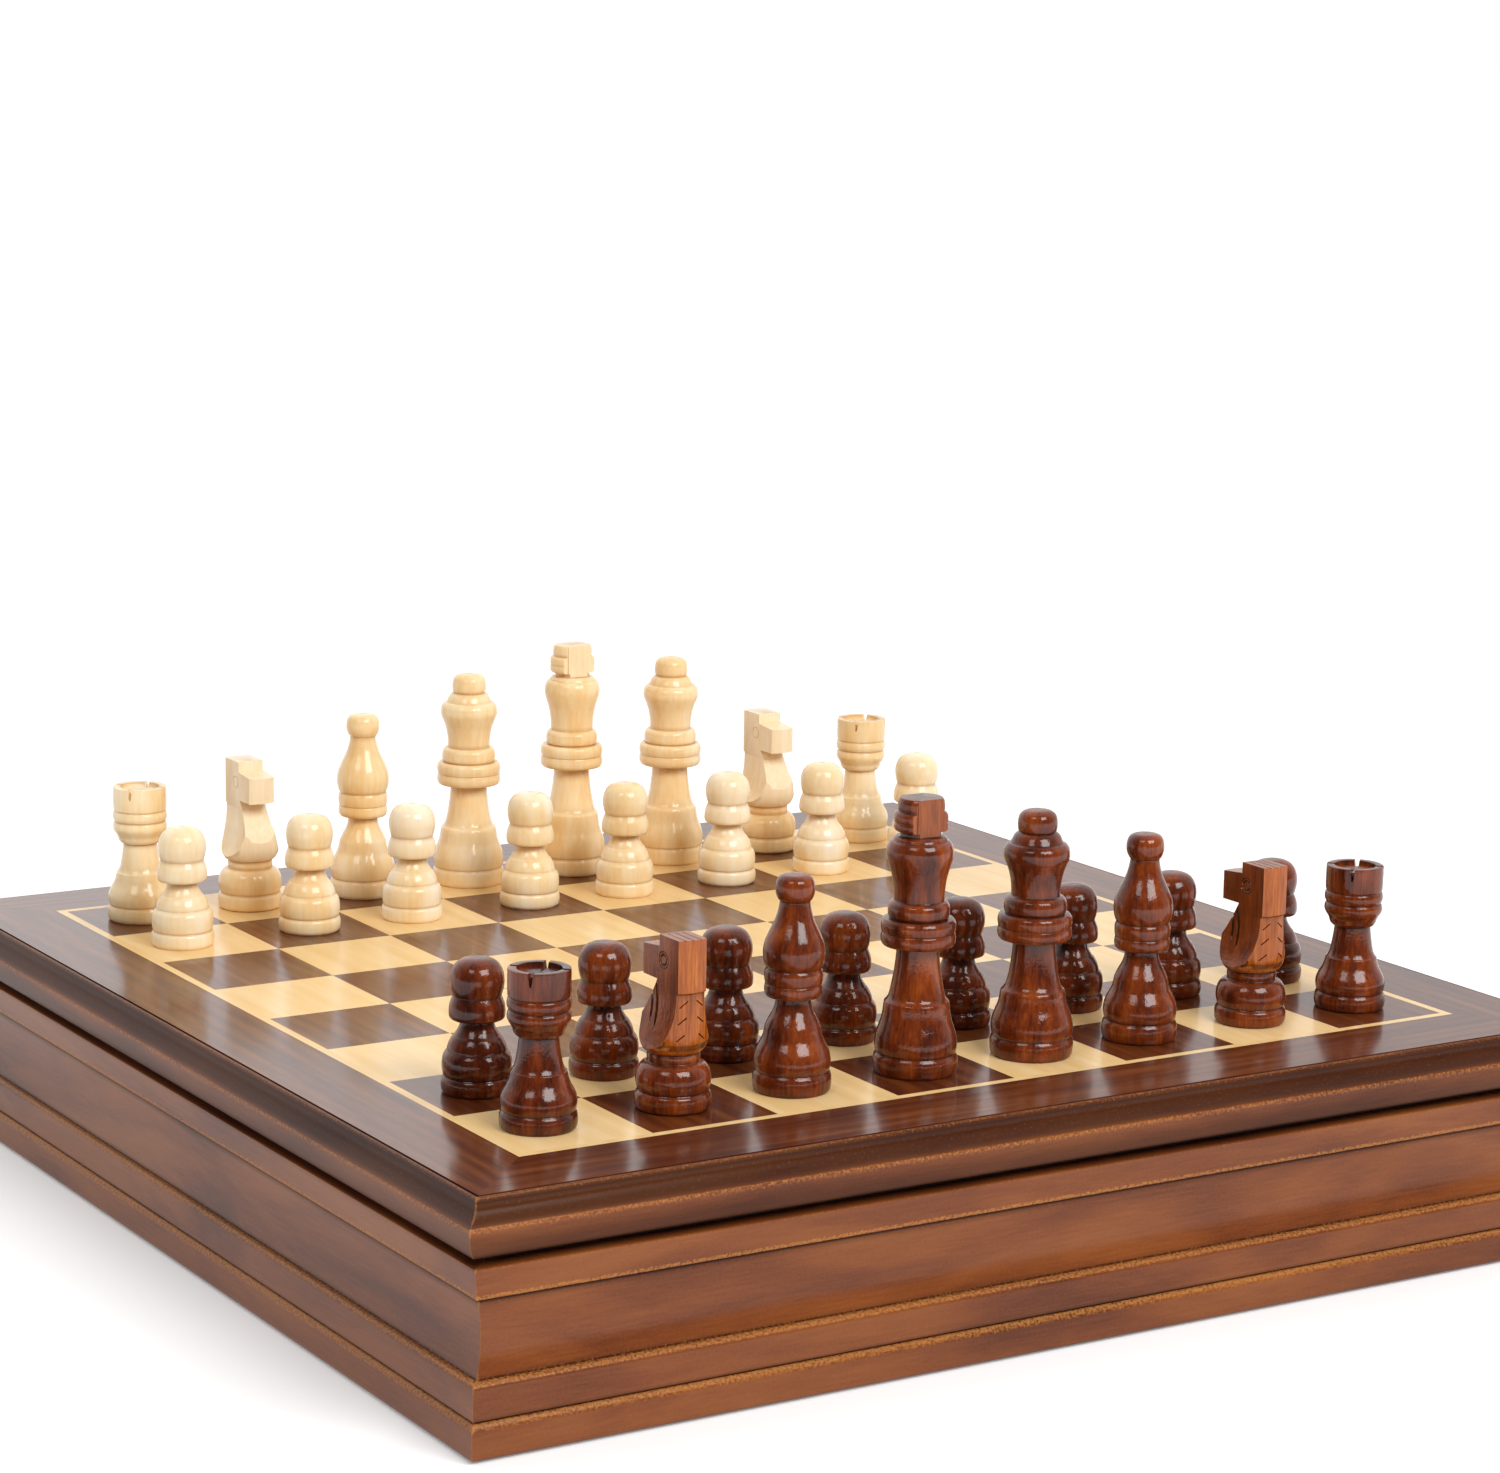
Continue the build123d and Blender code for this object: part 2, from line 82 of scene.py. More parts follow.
def block(low, high, turn=(0, 0, 0)):  # corners in millimetres, turned about its own middle
    bpy.ops.object.select_all(action="DESELECT")
    middle = [(a + b) / 2 * mm for a, b in zip(low, high)]
    size = [(b - a) * mm for a, b in zip(low, high)]
    bpy.ops.mesh.primitive_cube_add(size=1, location=middle, rotation=turn)
    bpy.context.object.scale = size
    return finishCutter()


def drawLine(name, points, closed=False):  # a ring of points pulled onto the drawn line
    bpy.ops.object.select_all(action="DESELECT")
    fill = "NGON" if closed else "NOTHING"
    bpy.ops.mesh.primitive_circle_add(vertices=len(points), radius=mm, fill_type=fill)
    obj = bpy.context.object
    obj.name = obj.data.name = name
    for vert, point in zip(obj.data.vertices, points):
        vert.co = point
    if not closed:
        bpy.ops.object.mode_set(mode="EDIT")
        bpy.ops.mesh.select_mode(type="EDGE")
        bpy.ops.mesh.select_all(action="DESELECT")
        ring = bmesh.from_edit_mesh(obj.data)
        ring.verts.ensure_lookup_table()
        ring.edges.get((ring.verts[0], ring.verts[-1])).select_set(True)
        bmesh.update_edit_mesh(obj.data)
        bpy.ops.mesh.delete(type="EDGE_FACE")
        bpy.ops.object.mode_set(mode="OBJECT")
    return obj


def prism(name, outline, along):  # a flat outline pushed out along one way
    obj = drawLine(name, outline, closed=True)
    pick(obj)
    bpy.ops.object.mode_set(mode="EDIT")
    bpy.ops.mesh.select_mode(type="FACE")
    bpy.ops.mesh.select_all(action="SELECT")
    bpy.ops.mesh.extrude_region_move(TRANSFORM_OT_translate={"value": along})
    bpy.ops.mesh.select_all(action="SELECT")
    bpy.ops.mesh.normals_make_consistent(inside=False)
    bpy.ops.object.mode_set(mode="OBJECT")
    return obj


def smoothStroke(points, parts=3):  # one curve through all the points
    line = []
    last = len(points) - 1
    for i in range(last):
        around = [points[max(i - 1, 0)], points[i], points[i + 1], points[min(i + 2, last)]]
        for step in range(parts if last > 1 else 1):
            t = step / parts
            spot = []
            for a, b, c, d in zip(*around):
                square = (2 * a - 5 * b + 4 * c - d) * t ** 2
                cube = (3 * b - a - 3 * c + d) * t ** 3
                spot.append(0.5 * (2 * b + (c - a) * t + square + cube))
            line.append(tuple(spot))
    line.append(tuple(points[last]))
    return line


def softCorner(before, corner, after, size, most=0.45):  # three points in place of a sharp one
    ends = []
    for other in (before, after):
        gap = math.dist(corner, other)
        share = min(size, most * gap) / gap
        ends.append(tuple(c + (o - c) * share for c, o in zip(corner, other)))
    middle = tuple((a + 2 * c + b) / 4 for a, c, b in zip(ends[0], corner, ends[1]))
    return [ends[0], middle, ends[1]]


def joinStrokes(strokes, size):  # strokes meet at small rounds; the first and last points stay
    line, corners = [], []
    for stroke in strokes:
        smooth = smoothStroke(stroke)
        if line and math.dist(line[-1], smooth[0]) < samePoint:
            smooth = smooth[1:]
        else:
            corners.append(len(line))
        line += smooth
        corners.append(len(line) - 1)
    made = []
    for i, point in enumerate(line):
        if i in corners and 0 < i < len(line) - 1:
            made += softCorner(line[i - 1], point, line[i + 1], size)
        else:
            made.append(point)
    return made


def turnOnLathe(name, strokes, steps=60, size=0.3):  # strokes hold diameter and height in millimetres
    line = joinStrokes(strokes, size)
    obj = drawLine(name, [(d / 2 * mm, 0, z * mm) for d, z in line])
    pick(obj)
    bpy.ops.object.mode_set(mode="EDIT")
    bpy.ops.mesh.select_all(action="SELECT")
    bpy.ops.mesh.spin(steps=steps, angle=2 * math.pi, center=(0, 0, 0), axis=(0, 0, 1))
    bpy.ops.mesh.select_all(action="SELECT")
    bpy.ops.mesh.remove_doubles(threshold=0.001 * mm)
    bpy.ops.mesh.normals_make_consistent(inside=False)
    bpy.ops.object.mode_set(mode="OBJECT")
    return obj, line


def setAttribute(mesh, name, values, kind="FLOAT", domain="POINT"):
    made = mesh.attributes.get(name) or mesh.attributes.new(name, kind, domain)
    field = "vector" if kind == "FLOAT_VECTOR" else "value"
    made.data.foreach_set(field, np.asarray(values, np.float32).ravel())


def linear(text):  # sRGB hex to linear
    parts = [int(text[i:i + 2], 16) / 255 for i in (1, 3, 5)]
    plain = [c / 12.92 if c <= 0.04045 else ((c + 0.055) / 1.055) ** 2.4 for c in parts]
    return (*plain, 1.0)


def addNode(tree, kind, sockets=None, stops=None, **settings):  # one node, its settings, values and links
    node = tree.nodes.new(kind)
    for key, value in settings.items():
        setattr(node, key, value)
    if stops:
        ramp = node.color_ramp
        while len(ramp.elements) < len(stops):
            ramp.elements.new(0.5)
        for element, (place, colour) in zip(ramp.elements, stops):
            element.position = place
            element.color = linear(colour)
    for key, value in (sockets or {}).items():
        if isinstance(value, bpy.types.NodeSocket):
            tree.links.new(value, node.inputs[key])
        else:
            node.inputs[key].default_value = value
    return node


def newMaterial(name, **finish):
    material = bpy.data.materials.new(name)
    material.use_nodes = True
    shader = material.node_tree.nodes["Principled BSDF"]
    for key, value in finish.items():
        shader.inputs[key.replace("_", " ")].default_value = value
    return material, material.node_tree, shader


# Pull of the grain along the axis, its share in the bump, and the bump's depth in millimetres
turning = {"streakPull": 0.08, "blotchPull": 0.35, "grainLift": 0.35, "bumpDepth": 0.1}


# Turned wood, stained and lacquered or clear polished: fine streaks along the axis, with painted shade in
# the grooves
def turnedWood(name, look):
    material, tree, shader = newMaterial(name, **look["finish"])
    place = addNode(tree, "ShaderNodeAttribute", attribute_name="woodPlace").outputs["Vector"]
    hollow = addNode(tree, "ShaderNodeAttribute", attribute_name="hollow").outputs["Fac"]
    bare = addNode(tree, "ShaderNodeAttribute", attribute_name="bare").outputs["Fac"]
    tone = addNode(tree, "ShaderNodeAttribute", attribute_name="tone").outputs["Fac"]
    along = addNode(tree, "ShaderNodeMapping", {"Vector": place, "Scale": (1, 1, turning["streakPull"])})
    streak = addNode(tree, "ShaderNodeTexNoise", {
        "Vector": along.outputs[0], "Scale": 1 / (look["streak"] * mm), "Detail": 5, "Roughness": 0.65})
    long = addNode(tree, "ShaderNodeMapping", {"Vector": place, "Scale": (1, 1, turning["blotchPull"])})
    blotch = addNode(tree, "ShaderNodeTexNoise", {
        "Vector": long.outputs[0], "Scale": 1 / (look["blotch"] * mm), "Detail": 3, "Roughness": 0.5})
    streak, blotch = streak.outputs["Fac"], blotch.outputs["Fac"]
    share, mixed = look["streakShare"], 0.0
    for layer, part in ((streak, share), (blotch, 1 - share), (tone, look["toneShare"])):
        layered = {0: layer, 1: part, 2: mixed}
        mixed = addNode(tree, "ShaderNodeMath", layered, operation="MULTIPLY_ADD").outputs[0]
    colour = addNode(tree, "ShaderNodeValToRGB", {0: mixed}, stops=look["stops"])
    bareColour = addNode(tree, "ShaderNodeValToRGB", {0: streak}, stops=look["bareStops"])
    milled = addNode(tree, "ShaderNodeMix", {
        0: bare, 6: colour.outputs[0], 7: bareColour.outputs[0]}, data_type="RGBA")
    # painted shade: the hollow attribute darkens grooves and carved recesses towards the hollow colour
    paintedGrooveShade = addNode(tree, "ShaderNodeMath", {0: hollow, 1: look["hollowShare"]}, operation="MULTIPLY")
    grooveShadedColour = addNode(tree, "ShaderNodeMix", {
        0: paintedGrooveShade.outputs[0], 6: milled.outputs[2], 7: linear(look["hollow"])}, data_type="RGBA")
    tree.links.new(grooveShadedColour.outputs[2], shader.inputs["Base Color"])
    dull = addNode(tree, "ShaderNodeMapRange", {
        "Value": bare, "To Min": look["rough"], "To Max": look["bareRough"]})
    tree.links.new(dull.outputs[0], shader.inputs["Roughness"])
    peel = addNode(tree, "ShaderNodeTexNoise", {
        "Vector": place, "Scale": 1 / (look["peel"] * mm), "Detail": 2})
    lift = addNode(tree, "ShaderNodeMath", {
        0: streak, 1: turning["grainLift"], 2: peel.outputs["Fac"]}, operation="MULTIPLY_ADD")
    bump = addNode(tree, "ShaderNodeBump", {
        "Height": lift.outputs[0], "Strength": look["bump"], "Distance": turning["bumpDepth"] * mm})
    for socket in ("Normal", "Coat Normal"):
        tree.links.new(bump.outputs[0], shader.inputs[socket])
    return material


# hollow is the colour of the painted shade in grooves and carved recesses, hollowShare its strength
darkPieceLook = {
    "finish": {"Coat_Weight": 0.7, "Coat_Roughness": 0.09, "Coat_IOR": 1.5, "Specular_IOR_Level": 0.04},
    "streak": 0.8, "blotch": 6.0, "streakShare": 0.4, "toneShare": 0.07,
    "stops": [(0.32, "#341106"), (0.44, "#57210a"), (0.55, "#75310d"), (0.72, "#994b17")],
    "bareStops": [(0.30, "#7f3a09"), (0.55, "#a55516"), (0.75, "#bd702a")],
    "hollow": "#170602", "hollowShare": 0.85, "rough": 0.45, "bareRough": 0.6,
    "peel": 0.8, "bump": 0.5,
}
palePieceLook = {
    "finish": {"Coat_Weight": 0.7, "Coat_Roughness": 0.12, "Coat_IOR": 1.5, "Specular_IOR_Level": 0.1},
    "streak": 1.4, "blotch": 12.0, "streakShare": 0.26, "toneShare": 0.13,
    "stops": [(0.30, "#e9b976"), (0.44, "#f2ca8e"), (0.57, "#f8dba9"), (0.76, "#fdedd0")],
    "bareStops": [(0.30, "#f5dab0"), (0.60, "#f9e5c3"), (0.80, "#fceed6")],
    "hollow": "#b87a36", "hollowShare": 0.8, "rough": 0.45, "bareRough": 0.5,
    "peel": 1.4, "bump": 0.08,
}
pieceMaterial = {
    "dark": turnedWood("lacqueredStainedBirch", darkPieceLook),
    "white": turnedWood("polishedBirch", palePieceLook),
}


slicing = {  # pull and tilt of the figure, the jump from square to square, and how far the pores show
    "pull": 0.06, "tilt": 4, "jump": (0.7, 0.7, 0.05), "ringBend": 3.0, "poreSpan": (0.56, 0.72),
    "roughSpan": (-0.05, 0.08), "bump": 0.12, "bumpDepth": 0.05,
}


# Sliced veneer under satin lacquer: long figure, fine pores, each square from another part of the sheet
def veneer(name, look, grainAlongX=False, squares=False):
    material, tree, shader = newMaterial(name, **look["finish"])
    place = addNode(tree, "ShaderNodeTexCoord").outputs["Object"]
    layers = []
    if squares:
        side = (squareSide * mm,) * 3
        cell = addNode(tree, "ShaderNodeVectorMath", {0: place, 1: side}, operation="DIVIDE")
        cell = addNode(tree, "ShaderNodeVectorMath", {0: cell.outputs[0]}, operation="FLOOR").outputs[0]
        chance = addNode(tree, "ShaderNodeTexWhiteNoise", {"Vector": cell}, noise_dimensions="3D")
        jumped = {0: chance.outputs["Color"], 1: slicing["jump"], 2: place}
        place = addNode(tree, "ShaderNodeVectorMath", jumped, operation="MULTIPLY_ADD").outputs[0]
        layers = [(chance.outputs["Value"], look["toneShare"])]
    turn = (0, 0, math.pi / 2 if grainAlongX else 0)
    tilt = (math.radians(slicing["tilt"]), 0, 0)
    turned = addNode(tree, "ShaderNodeMapping", {"Vector": place, "Rotation": turn}).outputs[0]
    along = addNode(tree, "ShaderNodeMapping", {"Vector": turned, "Scale": (1, slicing["pull"], 1)})
    tilted = addNode(tree, "ShaderNodeMapping", {"Vector": turned, "Rotation": tilt})
    figure = addNode(tree, "ShaderNodeTexNoise", {
        "Vector": along.outputs[0], "Scale": 1 / (look["figure"] * mm), "Detail": 4, "Roughness": 0.55})
    ringScale = 2 * math.pi / (20 * look["ring"] * mm)  # the node draws 20 radians per unit of scale
    rings = addNode(tree, "ShaderNodeTexWave", {
        "Vector": tilted.outputs[0], "Scale": ringScale, "Distortion": slicing["ringBend"],
        "Detail": 3.0, "Detail Scale": 1.2, "Detail Roughness": 0.6},
        wave_type="RINGS", rings_direction="Y")
    pores = addNode(tree, "ShaderNodeTexNoise", {
        "Vector": along.outputs[0], "Scale": 1 / (look["pore"] * mm), "Detail": 3, "Roughness": 0.7})
    pores = pores.outputs["Fac"]
    mixed = figure.outputs["Fac"]
    for layer, share in [(rings.outputs["Fac"], look["ringShare"])] + layers:
        layered = {0: layer, 1: share, 2: mixed}
        mixed = addNode(tree, "ShaderNodeMath", layered, operation="MULTIPLY_ADD").outputs[0]
    colour = addNode(tree, "ShaderNodeValToRGB", {0: mixed}, stops=look["stops"])
    closed, opened = slicing["poreSpan"]
    openPores = addNode(tree, "ShaderNodeMapRange", {
        "Value": pores, "From Min": closed, "From Max": opened, "To Max": look["poreShare"]})
    pored = addNode(tree, "ShaderNodeMix", {
        0: openPores.outputs[0], 6: colour.outputs[0], 7: linear(look["poreColour"])}, data_type="RGBA")
    tree.links.new(pored.outputs[2], shader.inputs["Base Color"])
    smooth, coarse = (look["rough"] + change for change in slicing["roughSpan"])
    dull = addNode(tree, "ShaderNodeMapRange", {"Value": pores, "To Min": smooth, "To Max": coarse})
    tree.links.new(dull.outputs[0], shader.inputs["Roughness"])
    bump = addNode(tree, "ShaderNodeBump", {
        "Height": pores, "Strength": slicing["bump"], "Distance": slicing["bumpDepth"] * mm},
        invert=True)
    tree.links.new(bump.outputs[0], shader.inputs["Normal"])
    return material


squareSide = 39.5
walnutLook = {
    "finish": {"Coat_Weight": 0.75, "Coat_Roughness": 0.14, "Specular_IOR_Level": 0.04},
    "figure": 4.0, "ring": 5.0, "ringShare": 0.10, "pore": 0.5, "poreShare": 0.5,
    "poreColour": "#28110a", "toneShare": 0.10, "rough": 0.4,
    "stops": [(0.36, "#481e0d"), (0.50, "#572811"), (0.64, "#673517"), (0.84, "#7a4421")],
}
mapleLook = {
    "finish": {"Coat_Weight": 0.6, "Coat_Roughness": 0.18, "Specular_IOR_Level": 0.05},
    "figure": 5.0, "ring": 9.0, "ringShare": 0.06, "pore": 0.7, "poreShare": 0.12,
    "poreColour": "#c99750", "toneShare": 0.14, "rough": 0.4,
    "stops": [(0.34, "#e7bd7e"), (0.52, "#ecc688"), (0.68, "#f0cc92"), (0.86, "#f4d5a0")],
}


# Stained softwood moulding, waxed: soft clouds of stain along its length, rubbed sandy along the arrises,
# with painted shade in the quirks and coves
def mouldedWood(name, look):
    material, tree, shader = newMaterial(name, **look["finish"])
    place = addNode(tree, "ShaderNodeUVMap", uv_map="lengthSection").outputs[0]
    worn = addNode(tree, "ShaderNodeAttribute", attribute_name="worn").outputs["Fac"]
    shade = addNode(tree, "ShaderNodeAttribute", attribute_name="shade").outputs["Fac"]
    long = addNode(tree, "ShaderNodeMapping", {"Vector": place, "Scale": (look["cloudPull"], 1, 1)})
    along = addNode(tree, "ShaderNodeMapping", {"Vector": place, "Scale": (look["grainPull"], 1, 1)})
    cloud = addNode(tree, "ShaderNodeTexNoise", {
        "Vector": long.outputs[0], "Scale": 1 / (look["cloud"] * mm), "Detail": 3, "Roughness": 0.5,
        "Distortion": 0.6}).outputs["Fac"]
    grain = addNode(tree, "ShaderNodeTexNoise", {
        "Vector": along.outputs[0], "Scale": 1 / (look["grain"] * mm), "Detail": 5,
        "Roughness": 0.65}).outputs["Fac"]
    grit = addNode(tree, "ShaderNodeTexNoise", {
        "Vector": place, "Scale": 1 / (look["grit"] * mm), "Detail": 3, "Roughness": 0.7}).outputs["Fac"]
    mixed = 0.0
    for layer, share in zip((grain, grit, cloud), look["shares"]):
        layered = {0: layer, 1: share, 2: mixed}
        mixed = addNode(tree, "ShaderNodeMath", layered, operation="MULTIPLY_ADD").outputs[0]
    colour = addNode(tree, "ShaderNodeValToRGB", {0: mixed}, stops=look["stops"])
    # painted shade: the shade attribute mixes in the deep colour and thins the coat there
    deep = addNode(tree, "ShaderNodeMix", {
        0: shade, 6: colour.outputs[0], 7: linear(look["deep"])}, data_type="RGBA")
    gain, start = look["gritGain"]
    low, high = look["rubSpan"]
    rub = addNode(tree, "ShaderNodeMath", {0: grit, 1: gain, 2: start}, operation="MULTIPLY_ADD")
    rub = addNode(tree, "ShaderNodeMath", {
        0: rub.outputs[0], 1: worn, 2: cornerRub(tree, look)}, operation="MULTIPLY_ADD")
    rub = addNode(tree, "ShaderNodeMapRange", {
        "Value": rub.outputs[0], "From Min": low, "From Max": high, "To Max": look["wornShare"]})
    rub = rub.outputs[0]
    rubbed = addNode(tree, "ShaderNodeMix", {
        0: rub, 6: deep.outputs[2], 7: linear(look["worn"])}, data_type="RGBA")
    tree.links.new(rubbed.outputs[2], shader.inputs["Base Color"])
    dull = addNode(tree, "ShaderNodeMapRange", {
        "Value": rub, "To Min": look["rough"], "To Max": look["bareRough"]})
    tree.links.new(dull.outputs[0], shader.inputs["Roughness"])
    thin = addNode(tree, "ShaderNodeMath", {0: rub, 1: shade}, operation="MAXIMUM")
    coat = addNode(tree, "ShaderNodeMapRange", {
        "Value": thin.outputs[0], "To Min": look["coat"], "To Max": look["bareCoat"]})
    tree.links.new(coat.outputs[0], shader.inputs["Coat Weight"])
    lift = addNode(tree, "ShaderNodeMath", {0: grit, 1: worn, 2: grain}, operation="MULTIPLY_ADD")
    bump = addNode(tree, "ShaderNodeBump", {
        "Height": lift.outputs[0], "Strength": look["bump"], "Distance": look["bumpDepth"] * mm})
    tree.links.new(bump.outputs[0], shader.inputs["Normal"])
    return material


def cornerRub(tree, look):  # the mitred corners are rubbed too
    place = addNode(tree, "ShaderNodeTexCoord").outputs["Object"]
    spot = addNode(tree, "ShaderNodeVectorMath", {0: place}, operation="ABSOLUTE")
    spot = addNode(tree, "ShaderNodeSeparateXYZ", {0: spot.outputs[0]})
    out, along = spot.outputs[:2]
    off = addNode(tree, "ShaderNodeMath", {0: out, 1: along}, operation="SUBTRACT")
    off = addNode(tree, "ShaderNodeMath", {0: off.outputs[0]}, operation="ABSOLUTE")
    corner = addNode(tree, "ShaderNodeMapRange", {
        "Value": off.outputs[0], "From Max": look["cornerW"] * mm,
        "To Min": look["cornerRub"], "To Max": 0})
    past = addNode(tree, "ShaderNodeMath", {0: out, 1: look["cornerFrom"] * mm}, operation="GREATER_THAN")
    shown = {0: corner.outputs[0], 1: past.outputs[0]}
    return addNode(tree, "ShaderNodeMath", shown, operation="MULTIPLY").outputs[0]


mouldingLook = {  # grit is drawn coarser than real sanding dust, so that it shows
    "finish": {"Coat_Roughness": 0.22, "Specular_IOR_Level": 0.03}, "coat": 0.58, "bareCoat": 0.1,
    "rough": 0.42, "bareRough": 0.75, "bump": 0.2, "bumpDepth": 0.2,
    "grain": 0.9, "grainPull": 0.07, "cloud": 20.0, "cloudPull": 0.22, "grit": 0.9,
    "shares": (0.2, 0.16, 0.64),  # of grain, grit and cloud
    "worn": "#b87a40", "wornShare": 0.72, "gritGain": (3.4, -1.0), "rubSpan": (0.25, 0.85),
    # deep is the colour of the painted shade
    "cornerRub": 0.42, "cornerW": 0.7, "cornerFrom": 183.0, "deep": "#220d06",
    "stops": [(0.36, "#5a2c13"), (0.47, "#723b1a"), (0.55, "#7f451e"), (0.68, "#8c5226")],
}
mouldingMaterial = mouldedWood("stainedPineMoulding", mouldingLook)


sawing = {"grain": 3.0, "pull": 0.05, "bump": 0.2, "bumpDepth": 0.1}  # grain and depth in millimetres


# Plain sawn panel, hidden or half hidden: straight grain and a dry surface
def panelWood(name, stops):
    material, tree, shader = newMaterial(name, Roughness=0.6, IOR=1.5)
    place = addNode(tree, "ShaderNodeTexCoord").outputs["Object"]
    along = addNode(tree, "ShaderNodeMapping", {"Vector": place, "Scale": (1, sawing["pull"], 1)})
    grain = addNode(tree, "ShaderNodeTexNoise", {
        "Vector": along.outputs[0], "Scale": 1 / (sawing["grain"] * mm), "Detail": 6, "Roughness": 0.65})
    colour = addNode(tree, "ShaderNodeValToRGB", {0: grain.outputs["Fac"]}, stops=stops)
    tree.links.new(colour.outputs[0], shader.inputs["Base Color"])
    bump = addNode(tree, "ShaderNodeBump", {
        "Height": grain.outputs["Fac"], "Strength": sawing["bump"], "Distance": sawing["bumpDepth"] * mm})
    tree.links.new(bump.outputs[0], shader.inputs["Normal"])
    return material


clothLook = {
    "finish": {
        "Roughness": 0.95, "Sheen_Weight": 0.25, "Sheen_Roughness": 0.5, "Specular_IOR_Level": 0.15},
    "bump": 0.5, "bumpDepth": 0.2,
}


# Black flock and felt: no gloss, a faint velvet edge and short fibres
def blackCloth(name, fibre, stops):
    material, tree, shader = newMaterial(name, **clothLook["finish"])
    place = addNode(tree, "ShaderNodeTexCoord").outputs["Object"]
    nap = addNode(tree, "ShaderNodeTexNoise", {
        "Vector": place, "Scale": 1 / (fibre * mm), "Detail": 4, "Roughness": 0.7})
    colour = addNode(tree, "ShaderNodeValToRGB", {0: nap.outputs["Fac"]}, stops=stops)
    tree.links.new(colour.outputs[0], shader.inputs["Base Color"])
    bump = addNode(tree, "ShaderNodeBump", {
        "Height": nap.outputs["Fac"], "Strength": clothLook["bump"],
        "Distance": clothLook["bumpDepth"] * mm})
    tree.links.new(bump.outputs[0], shader.inputs["Normal"])
    return material


def dress(node, material):
    nodes[node].data.materials.clear()
    nodes[node].data.materials.append(material)


walnutAcross = veneer("walnutVeneerAcross", walnutLook, grainAlongX=True)
walnutUp = veneer("walnutVeneerUp", walnutLook)
for side in sides:
    dress(f"board_border_{side}", walnutAcross if side in ("front", "back") else walnutUp)
dress("board_dark_squares", veneer("walnutVeneerSquares", walnutLook, squares=True))
dress("board_light_squares", veneer("mapleVeneerSquares", mapleLook, squares=True))
dress("board_stringing", veneer("mapleVeneerLine", mapleLook))
panelMaterial = panelWood("sandedPlywood", [(0.35, "#6b4424"), (0.55, "#84592f"), (0.75, "#9a6d3e")])
# near black plywood under the lid: painted shade for the gap between lid and tray
gapShadePanel = panelWood("gapShadePlywood", [(0.35, "#1c0f08"), (0.55, "#2a160c"), (0.75, "#3a2112")])
for node in ("lid_core_panel", "tray_base_panel"):
    dress(node, panelMaterial)
for node in ["lid_under_panel"] + [f"lid_batten_{side}" for side in sides]:
    dress(node, gapShadePanel)
flock = blackCloth("blackFlock", 0.6, [(0.3, "#060606"), (0.6, "#0b0b0c"), (0.8, "#121213")])
for node in ("insert_floor_sheet", "insert_pocket_sheet"):
    dress(node, flock)
felt = blackCloth("blackFelt", 0.9, [(0.3, "#0a0a0a"), (0.6, "#141414"), (0.8, "#1c1c1c")])
dress("tray_base_felt", felt)
print("chess box: veneers, panels and cloth are dressed")


# Mouldings: section points are distance from the box's middle, height, rubbed share and share of painted
# shade
def moulding(name, section, reach=220):  # drawn past the mitres, then cut to them
    outline = [(-reach * mm, -out * mm, z * mm) for out, z, worn, shade in section]
    obj = prism(name, outline, (2 * reach * mm, 0, 0))
    pick(obj)
    bpy.ops.object.mode_set(mode="EDIT")
    for way in (-1, 1):
        bpy.ops.mesh.select_all(action="SELECT")
        bpy.ops.mesh.bisect(plane_co=(0, 0, 0), plane_no=(way, 1, 0), use_fill=True, clear_outer=True)
    bpy.ops.mesh.select_all(action="SELECT")
    bpy.ops.mesh.normals_make_consistent(inside=False)
    bpy.ops.object.mode_set(mode="OBJECT")
    mesh = obj.data
    runs, run = {}, 0.0
    for i, (out, z, worn, shade) in enumerate(section):
        if i:
            run += math.dist(section[i - 1][:2], (out, z)) * mm
        runs[(round(-out, 3), round(z, 3))] = (run, worn, shade)
    keys = [(round(v.co.y / mm, 3), round(v.co.z / mm, 3)) for v in mesh.vertices]
    found = [min(runs.items(), key=lambda item: math.dist(item[0], key))[1] for key in keys]
    setAttribute(mesh, "worn", [row[1] for row in found])
    setAttribute(mesh, "shade", [row[2] for row in found])
    uv = mesh.uv_layers.active or mesh.uv_layers.new()
    uv.name = "lengthSection"
    for loop in mesh.loops:
        uv.data[loop.index].uv = (mesh.vertices[loop.vertex_index].co.x, found[loop.vertex_index][0])
    bpy.ops.object.shade_smooth_by_angle(angle=math.radians(sharpEdge["moulding"]))
    mesh.materials.clear()
    mesh.materials.append(mouldingMaterial)
    return obj


stripJump = (0.613, 0.171)  # metres along and across the grain, so that no two strips match


def fitFourSides(front, nodeStem):  # the front strip and three turned copies stand for the mitred sides
    for turn, side in enumerate(sides):
        pick(front)
        bpy.ops.object.duplicate()
        strip = bpy.context.object
        strip.name = strip.data.name = f"{nodeStem}_{side}_moulded"
        strip.rotation_euler = (0, 0, turn * math.pi / 2)
        bpy.ops.object.transform_apply(location=True, rotation=True, scale=True)
        uv = strip.data.uv_layers["lengthSection"].data
        for loop in uv:
            loop.uv = [c + turn * jump for c, jump in zip(loop.uv, stripJump)]
        node = f"{nodeStem}_{side}"
        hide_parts(node)
        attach(strip, bodyOf[node])
    bpy.data.objects.remove(front)


def sectionCurve(start, end, sag, parts, worn=0.0, shade=0.0):  # a hollow between two section points
    made = []
    for step in range(1, parts):
        t = step / parts
        out, z = (a + (b - a) * t for a, b in zip(start, end))
        made.append((out - 4 * sag * t * (1 - t), z, worn, shade))
    return made


